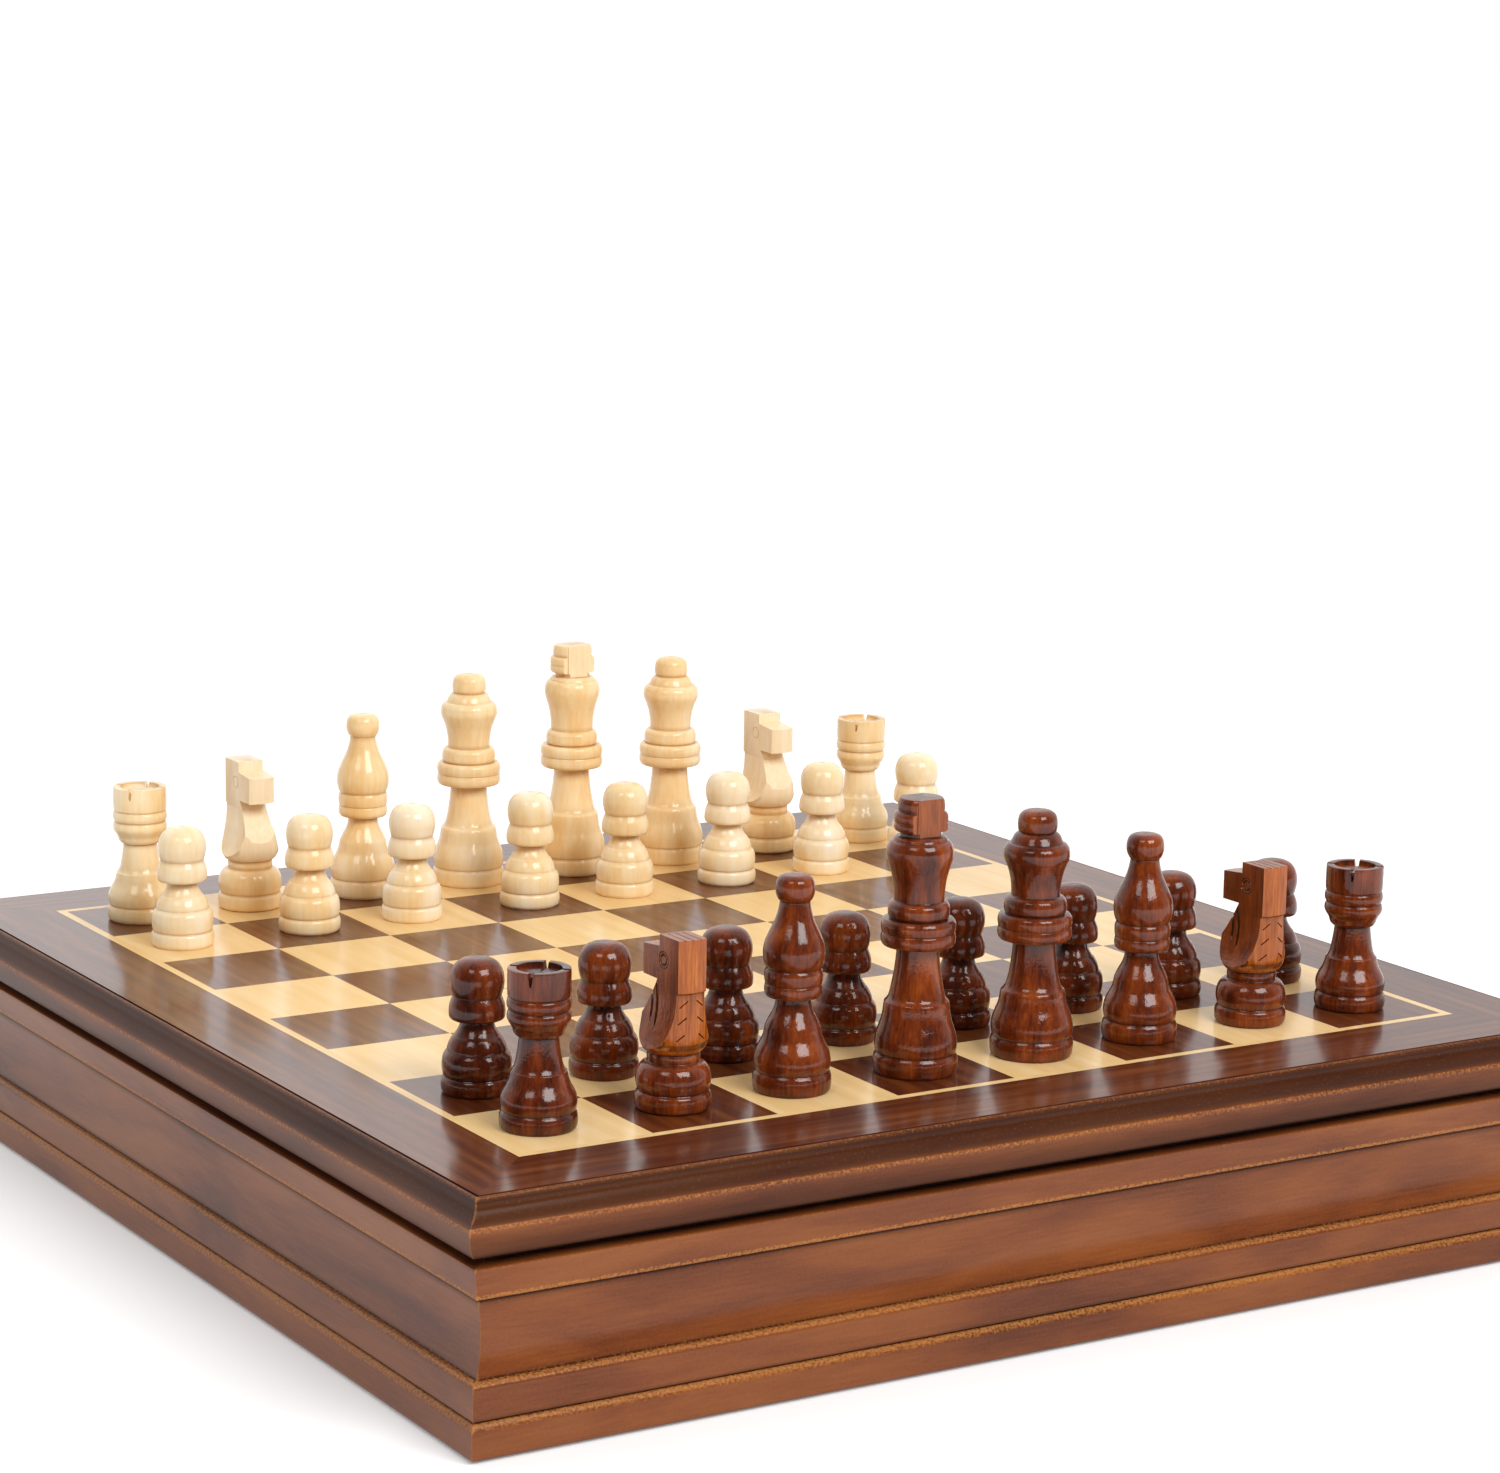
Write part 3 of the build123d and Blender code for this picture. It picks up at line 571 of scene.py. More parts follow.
trayWall = {"inner": 174.9, "outer": 187.9, "low": 1.0, "top": 51.7, "panel": 6.0, "rebate": 179.9}
wallSection = [
    (trayWall["rebate"], trayWall["low"], 0, 0), (trayWall["rebate"], trayWall["panel"], 0, 0),
    (trayWall["inner"], trayWall["panel"], 0, 0), (trayWall["inner"], 51.2, 0.2, 0),
    (175.05, 51.55, 0.5, 0), (175.4, trayWall["top"], 0.3, 0), (176.5, trayWall["top"], 0, 0),
    (186.8, trayWall["top"], 0, 0), (187.5, trayWall["top"], 0.25, 0), (187.8, 51.5, 0.4, 0),
    (trayWall["outer"], 51.1, 0.25, 0), (187.8, 50.2, 0, 0), (187.1, 44.6, 0.1, 0),
    (187.0, 43.9, 0.8, 0), (186.9, 43.3, 1, 0), (186.6, 42.95, 0.6, 0.4), (185.9, 42.8, 0.2, 0.95),
    (185.75, 42.4, 0.1, 0.9), (185.7, 41.7, 0.3, 0.35), (185.4, 40.3, 0.1, 0),
]
wallSection += sectionCurve((185.4, 40.3), (186.0, 22.8), 1.35, 14)
wallSection += [
    (186.0, 22.8, 0.1, 0), (186.2, 22.0, 0.3, 0.2), (186.35, 21.45, 0.4, 0.9),
    (186.8, 21.25, 0.8, 0.3), (187.6, 21.15, 0.9, 0), (188.3, 20.7, 0.9, 0), (188.7, 20.1, 0.3, 0),
    (188.8, 19.3, 0.05, 0), (188.8, 18.4, 0, 0), (188.8, 12.2, 0, 0), (188.75, 11.5, 0.1, 0.3),
    (188.4, 11.0, 0.1, 0.95), (187.6, 10.85, 0.2, 0.95), (187.3, 10.7, 0.6, 0.4),
    (187.9, 10.6, 1, 0), (188.6, 10.2, 1, 0), (189.1, 9.5, 0.8, 0), (189.35, 8.7, 0.35, 0),
    (189.4, 7.9, 0.05, 0), (189.4, 7.0, 0, 0), (189.4, 2.2, 0, 0), (189.35, 1.4, 0.15, 0),
    (189.1, 1.0, 0.2, 0.2),
]
fitFourSides(moulding("trayWallFront", wallSection), "tray_wall")

lidEdge = {"inner": 186.0, "low": 54.9, "lip": 191.3}
# the lid edge's shade shares paint shade on its inner face, in the cove and down the bullnose
edgeSection = [
    (lidEdge["inner"], lidEdge["low"], 0, 0.3), (lidEdge["inner"], 69.9, 0, 1.0),
    (186.2, 69.95, 0, 1.0), (186.35, 70.35, 0.1, 0.85), (186.7, 70.55, 0.25, 0.5),
    (187.1, 70.55, 0.4, 0.4), (187.5, 70.3, 0.4, 0.45), (187.75, 69.8, 0.3, 0.7),
    (187.75, 69.2, 0.1, 0.85),
]
edgeSection += sectionCurve((187.75, 69.2), (190.4, 64.2), 1.0, 10, 0.25, 0.75)
edgeSection += [
    (190.4, 64.2, 0, 0.65), (190.9, 63.75, 0.1, 0.45), (191.2, 63.4, 0.7, 0.1),
    (lidEdge["lip"], 62.9, 0.6, 0.1), (191.28, 61.8, 0.2, 0.22), (191.15, 60.4, 0, 0.35),
    (190.85, 58.9, 0, 0.48), (190.4, 57.5, 0, 0.56), (189.8, 56.2, 0, 0.6), (189.2, 55.3, 0, 0.7),
    (188.7, lidEdge["low"], 0, 0.8),
]
fitFourSides(moulding("lidEdgeFront", edgeSection), "lid_edge")
print("chess box: mouldings are fitted")

# Turned pieces: strokes of diameter and height in millimetres, each stroke one smooth cut of the gouge
toneOf = {  # paler or darker than the rest of its side, as stained and as the wood came
    "white": {"pawn": 0.9, "rook": 0.3, "knight": 0.2, "bishop": 0.3, "queen": 0.3, "king": 0.0},
    "dark": {"pawn": -0.6, "rook": -0.5, "knight": 0.3, "bishop": 0.3, "queen": 0.3, "king": 0.3},
}
kingShape = {
    "strokes": [
        [(0, 0), (22.8, 0)],
        [(22.8, 0), (23.9, 0.9), (24.3, 2.8), (24.1, 4.6), (23.3, 5.5)],
        [(22.7, 5.9), (23.2, 6.3)],
        [(23.2, 6.3), (23.7, 8.2), (23.3, 10.6), (21.9, 13.0), (20.3, 15.2), (19.4, 17.4),
         (18.9, 19.6), (18.5, 20.7)],
        [(17.6, 21.2), (16.2, 22.3), (14.9, 25.2), (13.4, 29.4), (12.5, 33.4), (12.0, 36.9)],
        [(19.9, 37.1), (21.0, 37.8), (21.4, 39.1), (21.0, 40.6)],
        [(20.6, 40.9), (21.0, 41.2)],
        [(21.0, 41.2), (21.4, 42.6), (21.1, 43.9), (19.9, 44.8)],
        [(16.6, 45.0), (17.4, 45.7), (17.7, 47.2), (17.2, 48.9), (15.6, 49.8)],
        [(14.5, 50.0), (14.6, 52.4), (15.2, 55.4), (16.5, 58.4), (18.1, 61.0), (19.0, 63.2),
         (18.8, 65.2), (17.4, 66.8), (16.2, 67.2)],
        [(15.6, 67.4), (15.0, 68.1), (13.6, 68.6)],
        [(11.7, 68.7), (11.7, 70.0)],
        [(14.3, 70.1), (15.2, 70.7), (15.3, 71.9), (15.0, 72.6)],
        [(15.0, 72.6), (15.3, 73.4), (15.2, 74.8), (14.2, 75.5)],
        [(13.1, 75.7), (13.4, 76.8), (13.2, 78.6), (12.2, 79.6)],
        [(12.2, 79.6), (0, 79.6)],
    ],
    "flat": 9.6, "flatLow": 68.75,
    "kerf": 4.3, "kerfW": 0.24, "kerfDepth": 0.3, "kerfLow": 68.25, "kerfTop": 79.0,
}


def makeKing():
    obj, line = turnOnLathe("king", kingShape["strokes"])
    half, low = kingShape["flat"] / 2, kingShape["flatLow"]
    saw, deep = kingShape["kerfW"] / 2, kingShape["kerfDepth"]
    kerfLow, kerfTop = kingShape["kerfLow"], kingShape["kerfTop"]
    for way in (-1, 1):
        near, far = sorted((way * half, way * clear))
        cut(obj, block((-clear, near, low), (clear, far, low + clear)))
        x, y = way * kingShape["kerf"], way * half
        cut(obj, block((x - saw, y - deep, kerfLow), (x + saw, y + deep, kerfTop)))
    return obj, line


queenShape = {
    "strokes": [
        [(0, 0), (22.8, 0)],
        [(22.8, 0), (23.9, 0.9), (24.3, 2.8), (24.1, 4.6), (23.4, 5.5)],
        [(22.9, 5.9), (23.4, 6.3)],
        [(23.4, 6.3), (23.9, 8.4), (23.4, 10.6), (21.9, 12.9), (20.3, 14.9), (19.4, 16.8),
         (18.9, 18.6), (18.2, 19.5)],
        [(17.4, 19.9), (16.0, 21.1), (14.5, 24.0), (13.3, 28.0), (12.6, 31.4), (12.3, 34.3)],
        [(20.2, 34.5), (21.2, 35.3), (21.6, 36.5), (21.2, 37.8)],
        [(20.9, 38.1), (21.2, 38.4)],
        [(21.2, 38.4), (21.6, 39.8), (21.2, 41.2), (20.0, 42.0)],
        [(17.4, 42.2), (18.0, 42.9), (18.2, 44.3), (17.5, 46.2), (15.8, 47.0)],
        [(14.2, 47.2), (14.3, 49.4), (14.9, 52.0), (16.1, 54.6), (17.8, 56.8), (19.0, 58.4),
         (19.2, 59.9), (18.6, 61.4), (16.9, 62.5)],
        [(15.6, 62.7), (14.8, 63.3), (13.4, 64.8), (11.8, 65.6)],
        [(10.7, 65.9), (11.2, 66.5), (11.5, 68.1), (11.2, 69.8), (10.1, 71.1), (7.6, 72.0),
         (4.0, 72.3), (0, 72.3)],
    ],
}
bishopShape = {
    "strokes": [
        [(0, 0), (20.8, 0)],
        [(20.8, 0), (21.9, 0.9), (22.3, 2.8), (22.0, 4.7), (21.2, 5.6)],
        [(20.6, 6.0), (21.1, 6.4)],
        [(21.1, 6.4), (21.7, 8.2), (21.5, 9.9), (20.5, 11.8), (18.8, 13.6), (17.1, 15.3),
         (16.2, 17.0), (15.7, 18.4), (14.9, 19.4)],
        [(14.9, 19.4), (13.4, 21.0), (11.4, 22.9), (10.2, 24.8), (9.7, 26.9)],
        [(15.0, 27.1), (16.1, 27.9), (16.4, 29.1), (16.1, 30.4)],
        [(15.7, 30.7), (16.1, 31.0)],
        [(16.1, 31.0), (16.5, 32.6), (16.3, 34.2), (15.5, 35.1)],
        [(15.7, 35.4), (16.7, 36.6), (17.4, 38.7), (17.3, 40.7), (16.3, 42.8), (14.8, 44.7),
         (12.8, 46.8), (11.0, 48.8), (9.7, 50.8), (8.9, 52.6), (8.5, 54.0)],
        [(8.6, 54.1), (9.7, 54.8), (10.7, 56.0), (11.1, 57.4), (10.8, 59.2), (9.6, 60.6),
         (7.2, 61.4), (4.0, 61.6), (0, 61.6)],
    ],
}
rookShape = {
    "strokes": [
        [(0, 0), (20.0, 0)],
        [(20.0, 0), (21.1, 0.8), (21.5, 2.4), (21.2, 4.0), (20.5, 4.8)],
        [(20.0, 5.1), (20.5, 5.5)],
        [(20.5, 5.5), (21.0, 7.2), (20.8, 8.8), (19.6, 10.4), (17.9, 11.9), (16.7, 13.2),
         (15.9, 14.6), (15.4, 15.8)],
        [(14.8, 16.0), (13.4, 17.3), (12.5, 19.2), (11.7, 21.6), (11.1, 24.0), (10.8, 25.5)],
        [(12.3, 25.7), (13.7, 26.5), (14.7, 28.0), (16.0, 29.1)],
        [(16.4, 29.4), (17.2, 30.2), (17.5, 31.2), (17.0, 32.3), (16.3, 32.7)],
        [(16.3, 32.7), (17.2, 33.5), (17.6, 34.6), (17.2, 35.8), (16.5, 36.3)],
        [(17.1, 36.7), (17.3, 38.5)],
        [(17.3, 38.5), (17.2, 44.2)],
        [(17.2, 44.2), (12.4, 44.2)],
        [(12.4, 44.2), (12.1, 42.7)],
        [(12.1, 42.7), (0, 42.7)],
    ],
    "top": 44.2, "notches": 4, "notchW": 1.5, "notchFoot": 0.5, "notchDepth": 3.6,
    "notchIn": 5.0, "notchRun": 10.0, "notchOver": 5.0,
}


def makeRook():
    obj, line = turnOnLathe("rook", rookShape["strokes"])
    wide, narrow, top = rookShape["notchW"] / 2, rookShape["notchFoot"] / 2, rookShape["top"]
    low, high = top - rookShape["notchDepth"], top + rookShape["notchOver"]
    wedge = [(-wide, high), (-wide, top), (-narrow, low), (narrow, low), (wide, top), (wide, high)]
    outline = [(rookShape["notchIn"] * mm, y * mm, z * mm) for y, z in wedge]
    for turn in range(rookShape["notches"]):
        notch = prism("notch", outline, (rookShape["notchRun"] * mm, 0, 0))
        notch.rotation_euler = (0, 0, math.pi / 4 + turn * math.pi / 2)
        pick(notch)
        cut(obj, finishCutter())
    return obj, line


pawnShape = {
    "strokes": [
        [(0, 0), (18.6, 0)],
        [(18.6, 0), (19.7, 0.8), (20.1, 2.4), (19.8, 3.9), (19.1, 4.6)],
        [(18.5, 4.9), (19.0, 5.3)],
        [(19.0, 5.3), (19.6, 7.2), (19.5, 9.2), (18.7, 10.8), (17.2, 11.9)],
        [(16.8, 12.1), (16.6, 12.8), (15.7, 14.2), (14.3, 15.5), (13.4, 16.1)],
        [(12.9, 16.3), (11.2, 17.6), (9.9, 19.0), (9.3, 20.8)],
        [(14.7, 21.0), (15.6, 21.7), (15.8, 23.4), (15.3, 25.2), (14.3, 26.6), (13.5, 27.5)],
        [(13.5, 27.5), (14.4, 28.9), (15.1, 31.0), (15.1, 32.6), (14.5, 34.2), (13.1, 35.8),
         (10.8, 37.1), (7.4, 37.9), (3.8, 38.2), (0, 38.2)],
    ],
}
knightShape = {
    "strokes": [
        [(0, 0), (19.2, 0)],
        [(19.2, 0), (20.9, 0.7), (21.4, 2.6), (21.0, 4.3), (20.1, 5.0)],
        [(19.5, 5.3), (20.0, 5.7)],
        [(20.0, 5.7), (20.9, 7.6), (20.8, 9.4), (20.0, 11.0), (18.4, 12.4), (16.4, 13.2), (14.9, 13.4)],
        [(14.5, 13.6), (14.8, 14.8), (14.5, 16.0)],
        [(14.7, 16.3), (16.4, 16.8), (18.2, 18.2), (19.2, 20.0), (19.5, 22.0), (19.5, 25.0)],
        [(19.5, 25.0), (19.4, 34.1)],
        [(20.8, 34.3), (20.8, 49.1)],
        [(20.8, 49.1), (0, 49.1)],
    ],
    "ear": 0.8, "snoutTop": 45.8, "browDrop": 2.0, "snoutLow": 36.4, "throat": 1.8, "chestLow": 4.8,
    "reach": 20.8, "flank": 4.4, "flankSteps": 12, "flare": 5.5, "run": 17.0, "neck": 16.3, "top": 49.1,
    "millFar": 60, "millOut": 40,
    "eye": (1.4, 42.2), "plainEye": (1.9, 0.2), "eyeRings": [(2.4, 0.22), (1.5, 0.4)],
    "topLines": (-2.2, 0.2, 2.4), "topLineW": 0.3, "topLineDepth": 0.18,
    "mane": [(31.2, 15), (26.6, 17), (21.8, 20)],  # height and degrees round from the back
    "maneTurn": 38, "maneCut": (3.0, 1.4, 0.4), "maneOut": 9.75,
    "gouges": [(-3.9, 28.6, 4.4), (-1.3, 29.2, 6.4)], "gougeTilt": 9,
    "gougeOut": 0.25, "gougeDepth": 0.9, "gougeHalf": 0.75,
}
flankRadius = (knightShape["run"] ** 2 + knightShape["flare"] ** 2) / (2 * knightShape["flare"])
grooveShading = {  # millimetres along, into and off the turned line, then where a cut gets painted shade
    "reach": 1.6, "reachSteps": 9, "depth": 0.55, "touch": 0.4, "skin": 0.05,
    "headZ": (18.3, 48.1), "flankDepth": (0.06, 1.0), "flankY": 7.0,
    "maneZ": (18.0, 34.0), "maneY": 7.0, "maneRadius": 9.6, "maneShare": 0.7,
}
bareShares = {"knightBack": 1.0, "knightFlank": 0.15, "knightSlope": 0.55, "kingFlat": 0.4}
squareOn = {"knightBack": 0.4, "knightFlank": 0.7, "kingFlat": 0.98}  # how squarely a face has to look


def flankReach(z):  # half the thickness of head and neck at a height, millimetres
    drop = np.clip(knightShape["neck"] + knightShape["run"] - z, 0, knightShape["run"])
    return knightShape["flank"] + flankRadius - np.sqrt(flankRadius ** 2 - drop ** 2)


def millHead(obj):  # brow, throat and both flanks, cut straight through the turned blank
    shape = knightShape
    reach, ear, far = shape["reach"], shape["ear"], shape["millFar"]
    snout, chin = shape["snoutTop"], shape["snoutLow"]
    brow = [(-ear, far), (-ear, snout), (-reach, snout - shape["browDrop"]), (-reach, far)]
    chest = [(-shape["throat"], chin), (-reach, shape["chestLow"]), (-reach, chin)]
    for outline in (brow, chest):
        cut(obj, prism("gouge", [(-far / 2 * mm, y * mm, z * mm) for y, z in outline], (far * mm, 0, 0)))
    flank = [(shape["flank"], far)]
    for step in range(shape["flankSteps"] + 1):
        z = shape["neck"] + shape["run"] * (1 - step / shape["flankSteps"])
        flank.append((flankReach(z), z))
    flank += [(shape["millOut"], shape["neck"]), (shape["millOut"], far)]
    for way in (-1, 1):
        outline = [(way * x * mm, -far / 2 * mm, z * mm) for x, z in flank]
        cut(obj, prism("mill", outline, (0, far * mm, 0)))


def gougeFlank(obj, way):
    shape = knightShape
    for y, z, half in shape["gouges"]:
        lean = math.asin((shape["neck"] + shape["run"] - z) / flankRadius)
        place = (way * (flankReach(z) + shape["gougeOut"]), y, z)
        bpy.ops.object.select_all(action="DESELECT")
        bpy.ops.mesh.primitive_uv_sphere_add(
            segments=20, ring_count=16, location=[c * mm for c in place],
            rotation=(math.radians(shape["gougeTilt"]), -way * lean, 0))
        bpy.context.object.scale = (shape["gougeDepth"] * mm, shape["gougeHalf"] * mm, half * mm)
        cut(obj, finishCutter())


def ringEye(obj, way, rings):
    place = (way * knightShape["flank"], *knightShape["eye"])
    for ring, width in rings:
        bpy.ops.object.select_all(action="DESELECT")
        bpy.ops.mesh.primitive_torus_add(
            major_segments=40, minor_segments=10, major_radius=ring * mm, minor_radius=width * mm,
            location=[c * mm for c in place], rotation=(0, math.pi / 2, 0))
        cut(obj, finishCutter())


def cutMane(obj, way):
    shape = knightShape
    for z, around in shape["mane"]:
        a = math.radians(around) * way
        middle = (shape["maneOut"] * math.sin(a), shape["maneOut"] * math.cos(a), z)
        low, high = ([m + sign * c / 2 for m, c in zip(middle, shape["maneCut"])] for sign in (-1, 1))
        cut(obj, block(low, high, (0, way * math.radians(shape["maneTurn"]), -a)))


def scoreTop(obj):
    half, top = knightShape["topLineW"] / 2, knightShape["top"]
    for x in knightShape["topLines"]:
        cut(obj, block((x - half, 0, top - knightShape["topLineDepth"]), (x + half, clear, top + 1)))


def makeKnight(carved):  # the dark ones are carved, the pale ones have a plain ring for an eye
    obj, line = turnOnLathe("knight", knightShape["strokes"])
    millHead(obj)
    for way in (-1, 1):
        if carved:
            gougeFlank(obj, way)
        ringEye(obj, way, knightShape["eyeRings"] if carved else [knightShape["plainEye"]])
        if carved:
            cutMane(obj, way)
    if carved:
        scoreTop(obj)
    pick(obj)
    even = obj.modifiers.new("even", "WEIGHTED_NORMAL")
    even.keep_sharp = True
    return obj, line


def grooveShade(line, place):  # painted shade: how far a point lies below the turned surface around it
    radius, height = np.array([(d / 2, z) for d, z in line]).T
    run = np.concatenate([[0], np.cumsum(np.hypot(np.diff(radius), np.diff(height)))])
    window = np.linspace(-grooveShading["reach"], grooveShading["reach"], grooveShading["reachSteps"])
    around = np.interp(run[:, None] + window, run, radius).mean(1)
    dip = np.clip((around - radius) / grooveShading["depth"], 0, 1)
    out = np.hypot(place[:, 0], place[:, 1])
    apart = np.hypot(out[:, None] - radius, place[:, 2:] - height)
    return np.where(apart.min(1) < grooveShading["touch"], dip[apart.argmin(1)], 0)


def bareShare(kind, face):  # faces cut after the lathe took less stain
    high, back, flank = face.center.z / mm, abs(face.normal.y), abs(face.normal.x)
    if kind == "knight" and high > knightShape["neck"]:
        if back > squareOn["knightBack"]:
            return bareShares["knightBack"]
        return bareShares["knightFlank" if flank > squareOn["knightFlank"] else "knightSlope"]
    if kind == "king" and high > kingShape["flatLow"] and back > squareOn["kingFlat"]:
        return bareShares["kingFlat"]
    return 0.0


def within(values, ends):
    return (values > ends[0]) & (values < ends[1])


def measureWood(kind, obj, line, carvingShade):  # grain place, painted groove shade and milled faces of a template
    mesh = obj.data
    place = np.zeros(len(mesh.vertices) * 3, np.float32)
    mesh.vertices.foreach_get("co", place)
    setAttribute(mesh, "woodPlace", place, "FLOAT_VECTOR")
    place = place.reshape(-1, 3) / mm
    x, y, z = np.abs(place[:, 0]), place[:, 1], place[:, 2]
    paintedGrooveShade = grooveShade(line, place)
    if kind == "king":  # the sawn flats get no painted groove shade
        offFlat = np.abs(np.abs(y) - kingShape["flat"] / 2)
        onFlat = (z > kingShape["flatLow"] + 2 * grooveShading["skin"]) & (offFlat < grooveShading["skin"])
        paintedGrooveShade = np.where(onFlat, 0, paintedGrooveShade)
    if kind == "knight":  # painted shade darkens the cut eyes, gouges and mane
        deep = flankReach(z) - x
        inFlank = within(z, grooveShading["headZ"]) & within(deep, grooveShading["flankDepth"])
        inFlank &= np.abs(y) < grooveShading["flankY"]
        inMane = within(z, grooveShading["maneZ"]) & (y > grooveShading["maneY"])
        inMane &= np.hypot(x, y) < grooveShading["maneRadius"]
        paintedGrooveShade = np.where(inMane, grooveShading["maneShare"] * carvingShade, paintedGrooveShade)
        paintedGrooveShade = np.where(inFlank, carvingShade, paintedGrooveShade)
    setAttribute(mesh, "hollow", paintedGrooveShade)
    setAttribute(mesh, "bare", [bareShare(kind, face) for face in mesh.polygons], domain="FACE")


def makeTemplate(kind, made, carvingShade=0.0):
    obj, line = made
    measureWood(kind, obj, line, carvingShade)
    pick(obj)
    bpy.ops.object.shade_smooth_by_angle(angle=math.radians(sharpEdge["piece"]))
    for modifier in list(obj.modifiers):
        bpy.ops.object.modifier_apply(modifier=modifier.name)
    print(f"chess box: {kind} is turned, {len(obj.data.polygons)} faces")
    return obj


templates = {
    "king": makeTemplate("king", makeKing()),
    "queen": makeTemplate("queen", turnOnLathe("queen", queenShape["strokes"])),
    "bishop": makeTemplate("bishop", turnOnLathe("bishop", bishopShape["strokes"])),
    "rook": makeTemplate("rook", makeRook()),
    "pawn": makeTemplate("pawn", turnOnLathe("pawn", pawnShape["strokes"])),
    "white knight": makeTemplate("knight", makeKnight(carved=False), carvingShade=0.3),
    "dark knight": makeTemplate("knight", makeKnight(carved=True), carvingShade=1.0),
}


grainJump = ((0.37, 3.1), (0.53, 2.7), (0.29, 1.9))  # metres, so that each piece is cut from other wood
toneStep, toneSpread = 0.618, 0.7  # so that neighbours differ in tone


def setOut(number, node):  # one copy of the kind, put where its solid is
    colour, kind = node.split("_")[:2]
    low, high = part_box(node)
    lying = high.z - low.z < high.y - low.y
    pick(templates.get(kind) or templates[f"{colour} {kind}"])
    bpy.ops.object.duplicate()
    obj = bpy.context.object
    obj.name = obj.data.name = f"{node}_turned"
    middle = (low + high) / 2
    if lying:
        headWay = -1 if colour == "white" else 1
        start = Vector((middle.x, high.y if colour == "white" else low.y, middle.z))
        turn = Matrix.Rotation(-headWay * math.pi / 2, 4, "X")
    else:
        start = Vector((middle.x, middle.y, low.z))
        turn = Matrix.Rotation(math.pi if colour == "dark" else 0, 4, "Z")
    obj.matrix_world = Matrix.Translation(start) @ turn
    bpy.ops.object.transform_apply(location=True, rotation=True, scale=True)
    mesh = obj.data
    spot = mesh.attributes["woodPlace"].data
    values = np.zeros(len(spot) * 3, np.float32)
    spot.foreach_get("vector", values)
    shift = np.array([step * number % limit for step, limit in grainJump], np.float32)
    spot.foreach_set("vector", (values.reshape(-1, 3) + shift).ravel())
    tone = toneOf[colour][kind] + toneSpread * (number * toneStep % 1 - 0.5)
    setAttribute(mesh, "tone", np.full(len(mesh.vertices), tone))
    mesh.materials.clear()
    mesh.materials.append(pieceMaterial[colour])
    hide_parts(node)
    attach(obj, bodyOf[node])


pieceNodes = []
for node in sorted(nodes):
    colour, kind = node.split("_")[:2]
    if colour in pieceMaterial and kind in kinds:
        pieceNodes.append(node)
for number, node in enumerate(pieceNodes):
    setOut(number, node)
for obj in templates.values():
    bpy.data.objects.remove(obj)
print(f"chess box: {len(pieceNodes)} pieces are set out")

# Floor, light and camera
floorLook = {  # sizes in metres; the floor's painted glow grows from the box outwards
    "size": 30.0, "low": 0.00005, "glow": (0.2, 0.85), "glowReach": (0.28, 2.0),
    "finish": {"Roughness": 0.9, "Specular_IOR_Level": 0.1, "Emission_Color": (1, 1, 1, 1)},
    "colour": "#f0f0f0",
}
bpy.ops.object.select_all(action="DESELECT")
bpy.ops.mesh.primitive_plane_add(size=floorLook["size"], location=(0, 0, -floorLook["low"]))
floor = bpy.context.object
floor.name = "paleFloor"
# Pale paper under the box: matt, with a painted glow, near white far off and softly shaded close by
floorMaterial, floorTree, floorShader = newMaterial("palePaper", **floorLook["finish"])
floorShader.inputs["Base Color"].default_value = linear(floorLook["colour"])
floorPlace = addNode(floorTree, "ShaderNodeTexCoord").outputs["Object"]
away = addNode(floorTree, "ShaderNodeVectorMath", {0: floorPlace}, operation="LENGTH")
(near, far), (low, high) = floorLook["glowReach"], floorLook["glow"]
glow = addNode(floorTree, "ShaderNodeMapRange", {
    "Value": away.outputs["Value"], "From Min": near, "From Max": far, "To Min": low, "To Max": high})
floorTree.links.new(glow.outputs[0], floorShader.inputs["Emission Strength"])
floor.data.materials.append(floorMaterial)

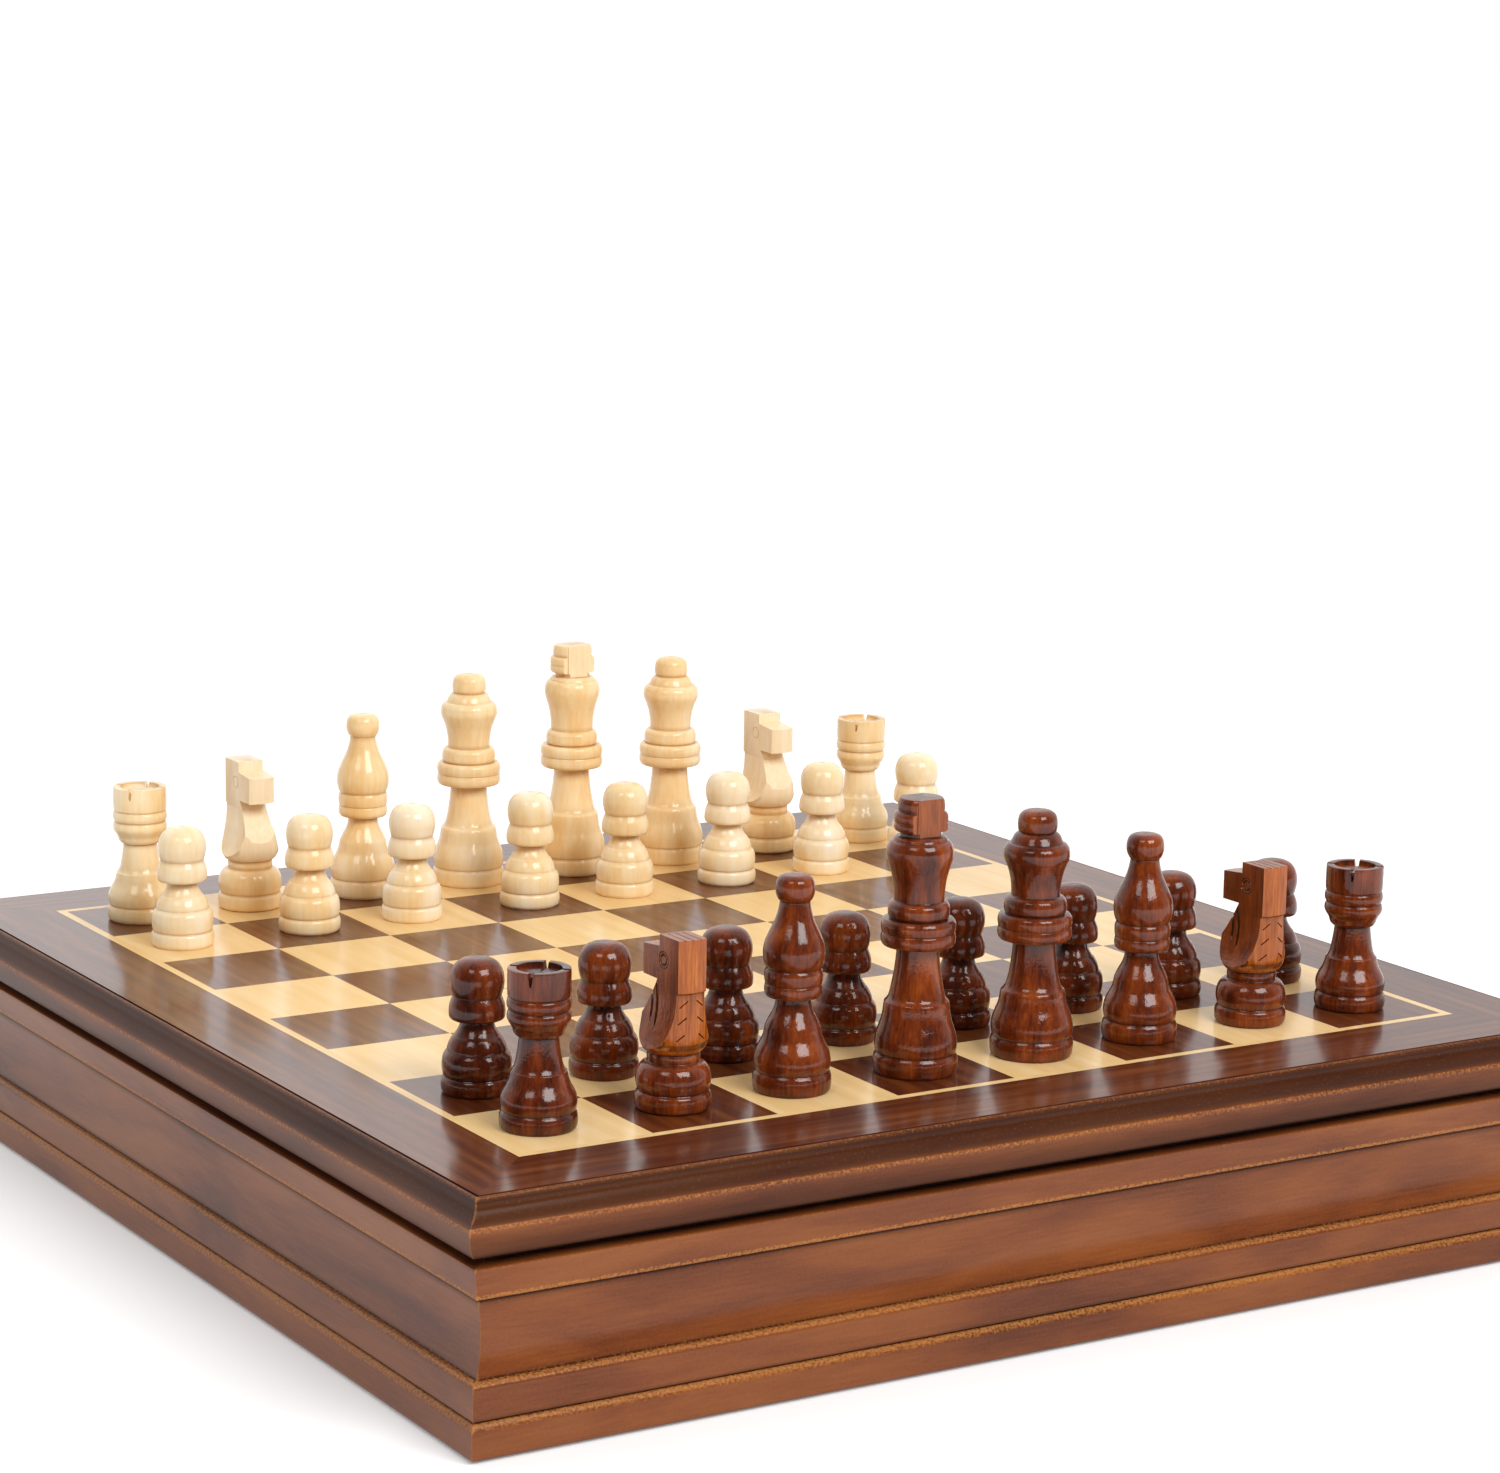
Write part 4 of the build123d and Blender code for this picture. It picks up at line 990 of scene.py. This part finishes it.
lightLook = {  # each softbox: turn and rise in degrees, watts, width in metres
    "boxes": [(-60, 42, 9.0, 0.8), (6, 38, 39.0, 1.2)], "far": 2.2, "height": 0.8, "aim": (0, 0, 0.09),
    "backdrop": (0.06, 1.0), "backdropWay": (0.52, 0.84, 0.15), "backdropEdge": (-0.25, 0.35),
    "screen": (0, 0.4), "screenWay": (0.045, 0.865, 0.5), "screenEdge": (0.80, 0.93),
}
world = bpy.context.scene.world or bpy.data.worlds.new("studio")
bpy.context.scene.world = world
world.use_nodes = True
skyTree = world.node_tree
way = addNode(skyTree, "ShaderNodeTexCoord").outputs["Generated"]
glow = 0.0
for key, ease in (("backdrop", "LINEAR"), ("screen", "SMOOTHSTEP")):
    toward = {0: way, 1: lightLook[f"{key}Way"]}
    facing = addNode(skyTree, "ShaderNodeVectorMath", toward, operation="DOT_PRODUCT").outputs["Value"]
    (near, far), (low, high) = lightLook[f"{key}Edge"], lightLook[key]
    lit = addNode(skyTree, "ShaderNodeMapRange", {
        "Value": facing, "From Min": near, "From Max": far, "To Min": low, "To Max": high},
        interpolation_type=ease)
    glow = addNode(skyTree, "ShaderNodeMath", {0: lit.outputs[0], 1: glow}, operation="ADD").outputs[0]
skyTree.nodes["Background"].inputs["Color"].default_value = (1, 1, 1, 1)
skyTree.links.new(glow, skyTree.nodes["Background"].inputs["Strength"])
for turn, rise, power, width in lightLook["boxes"]:
    data = bpy.data.lights.new("softbox", "AREA")
    data.shape = "RECTANGLE"
    data.size, data.size_y = width, width * lightLook["height"]
    data.energy = power
    lamp = bpy.data.objects.new("softbox", data)
    bpy.context.scene.collection.objects.link(lamp)
    around, up = math.radians(turn), math.radians(rise)
    flat = math.cos(up)
    back = Vector((math.sin(around) * flat, -math.cos(around) * flat, math.sin(up)))
    place = Matrix.Translation(Vector(lightLook["aim"]) + back * lightLook["far"])
    lamp.matrix_world = place @ (-back).to_track_quat("-Z", "Y").to_matrix().to_4x4()

cameraLook = {
    "place": (-644.94, -1057.49, 373.02), "lens": 96.52, "right": (0.85263, -0.52224, 0.01706),
    "up": (0.08113, 0.16457, 0.98302), "back": (-0.51618, -0.83677, 0.18269),
}
data = bpy.data.cameras.new("camera")
data.sensor_width = 36
data.sensor_fit = "HORIZONTAL"
data.lens = cameraLook["lens"]
camera = bpy.data.objects.new("camera", data)
bpy.context.scene.collection.objects.link(camera)
axes = Matrix([cameraLook["right"], cameraLook["up"], cameraLook["back"]]).transposed()
camera.matrix_world = Matrix.Translation(Vector(cameraLook["place"]) * mm) @ axes.to_4x4()
bpy.context.scene.camera = camera
bpy.context.scene.view_settings.view_transform = "Standard"  # plain whites, as in a shop photograph
print("chess box: floor, light and camera are set")
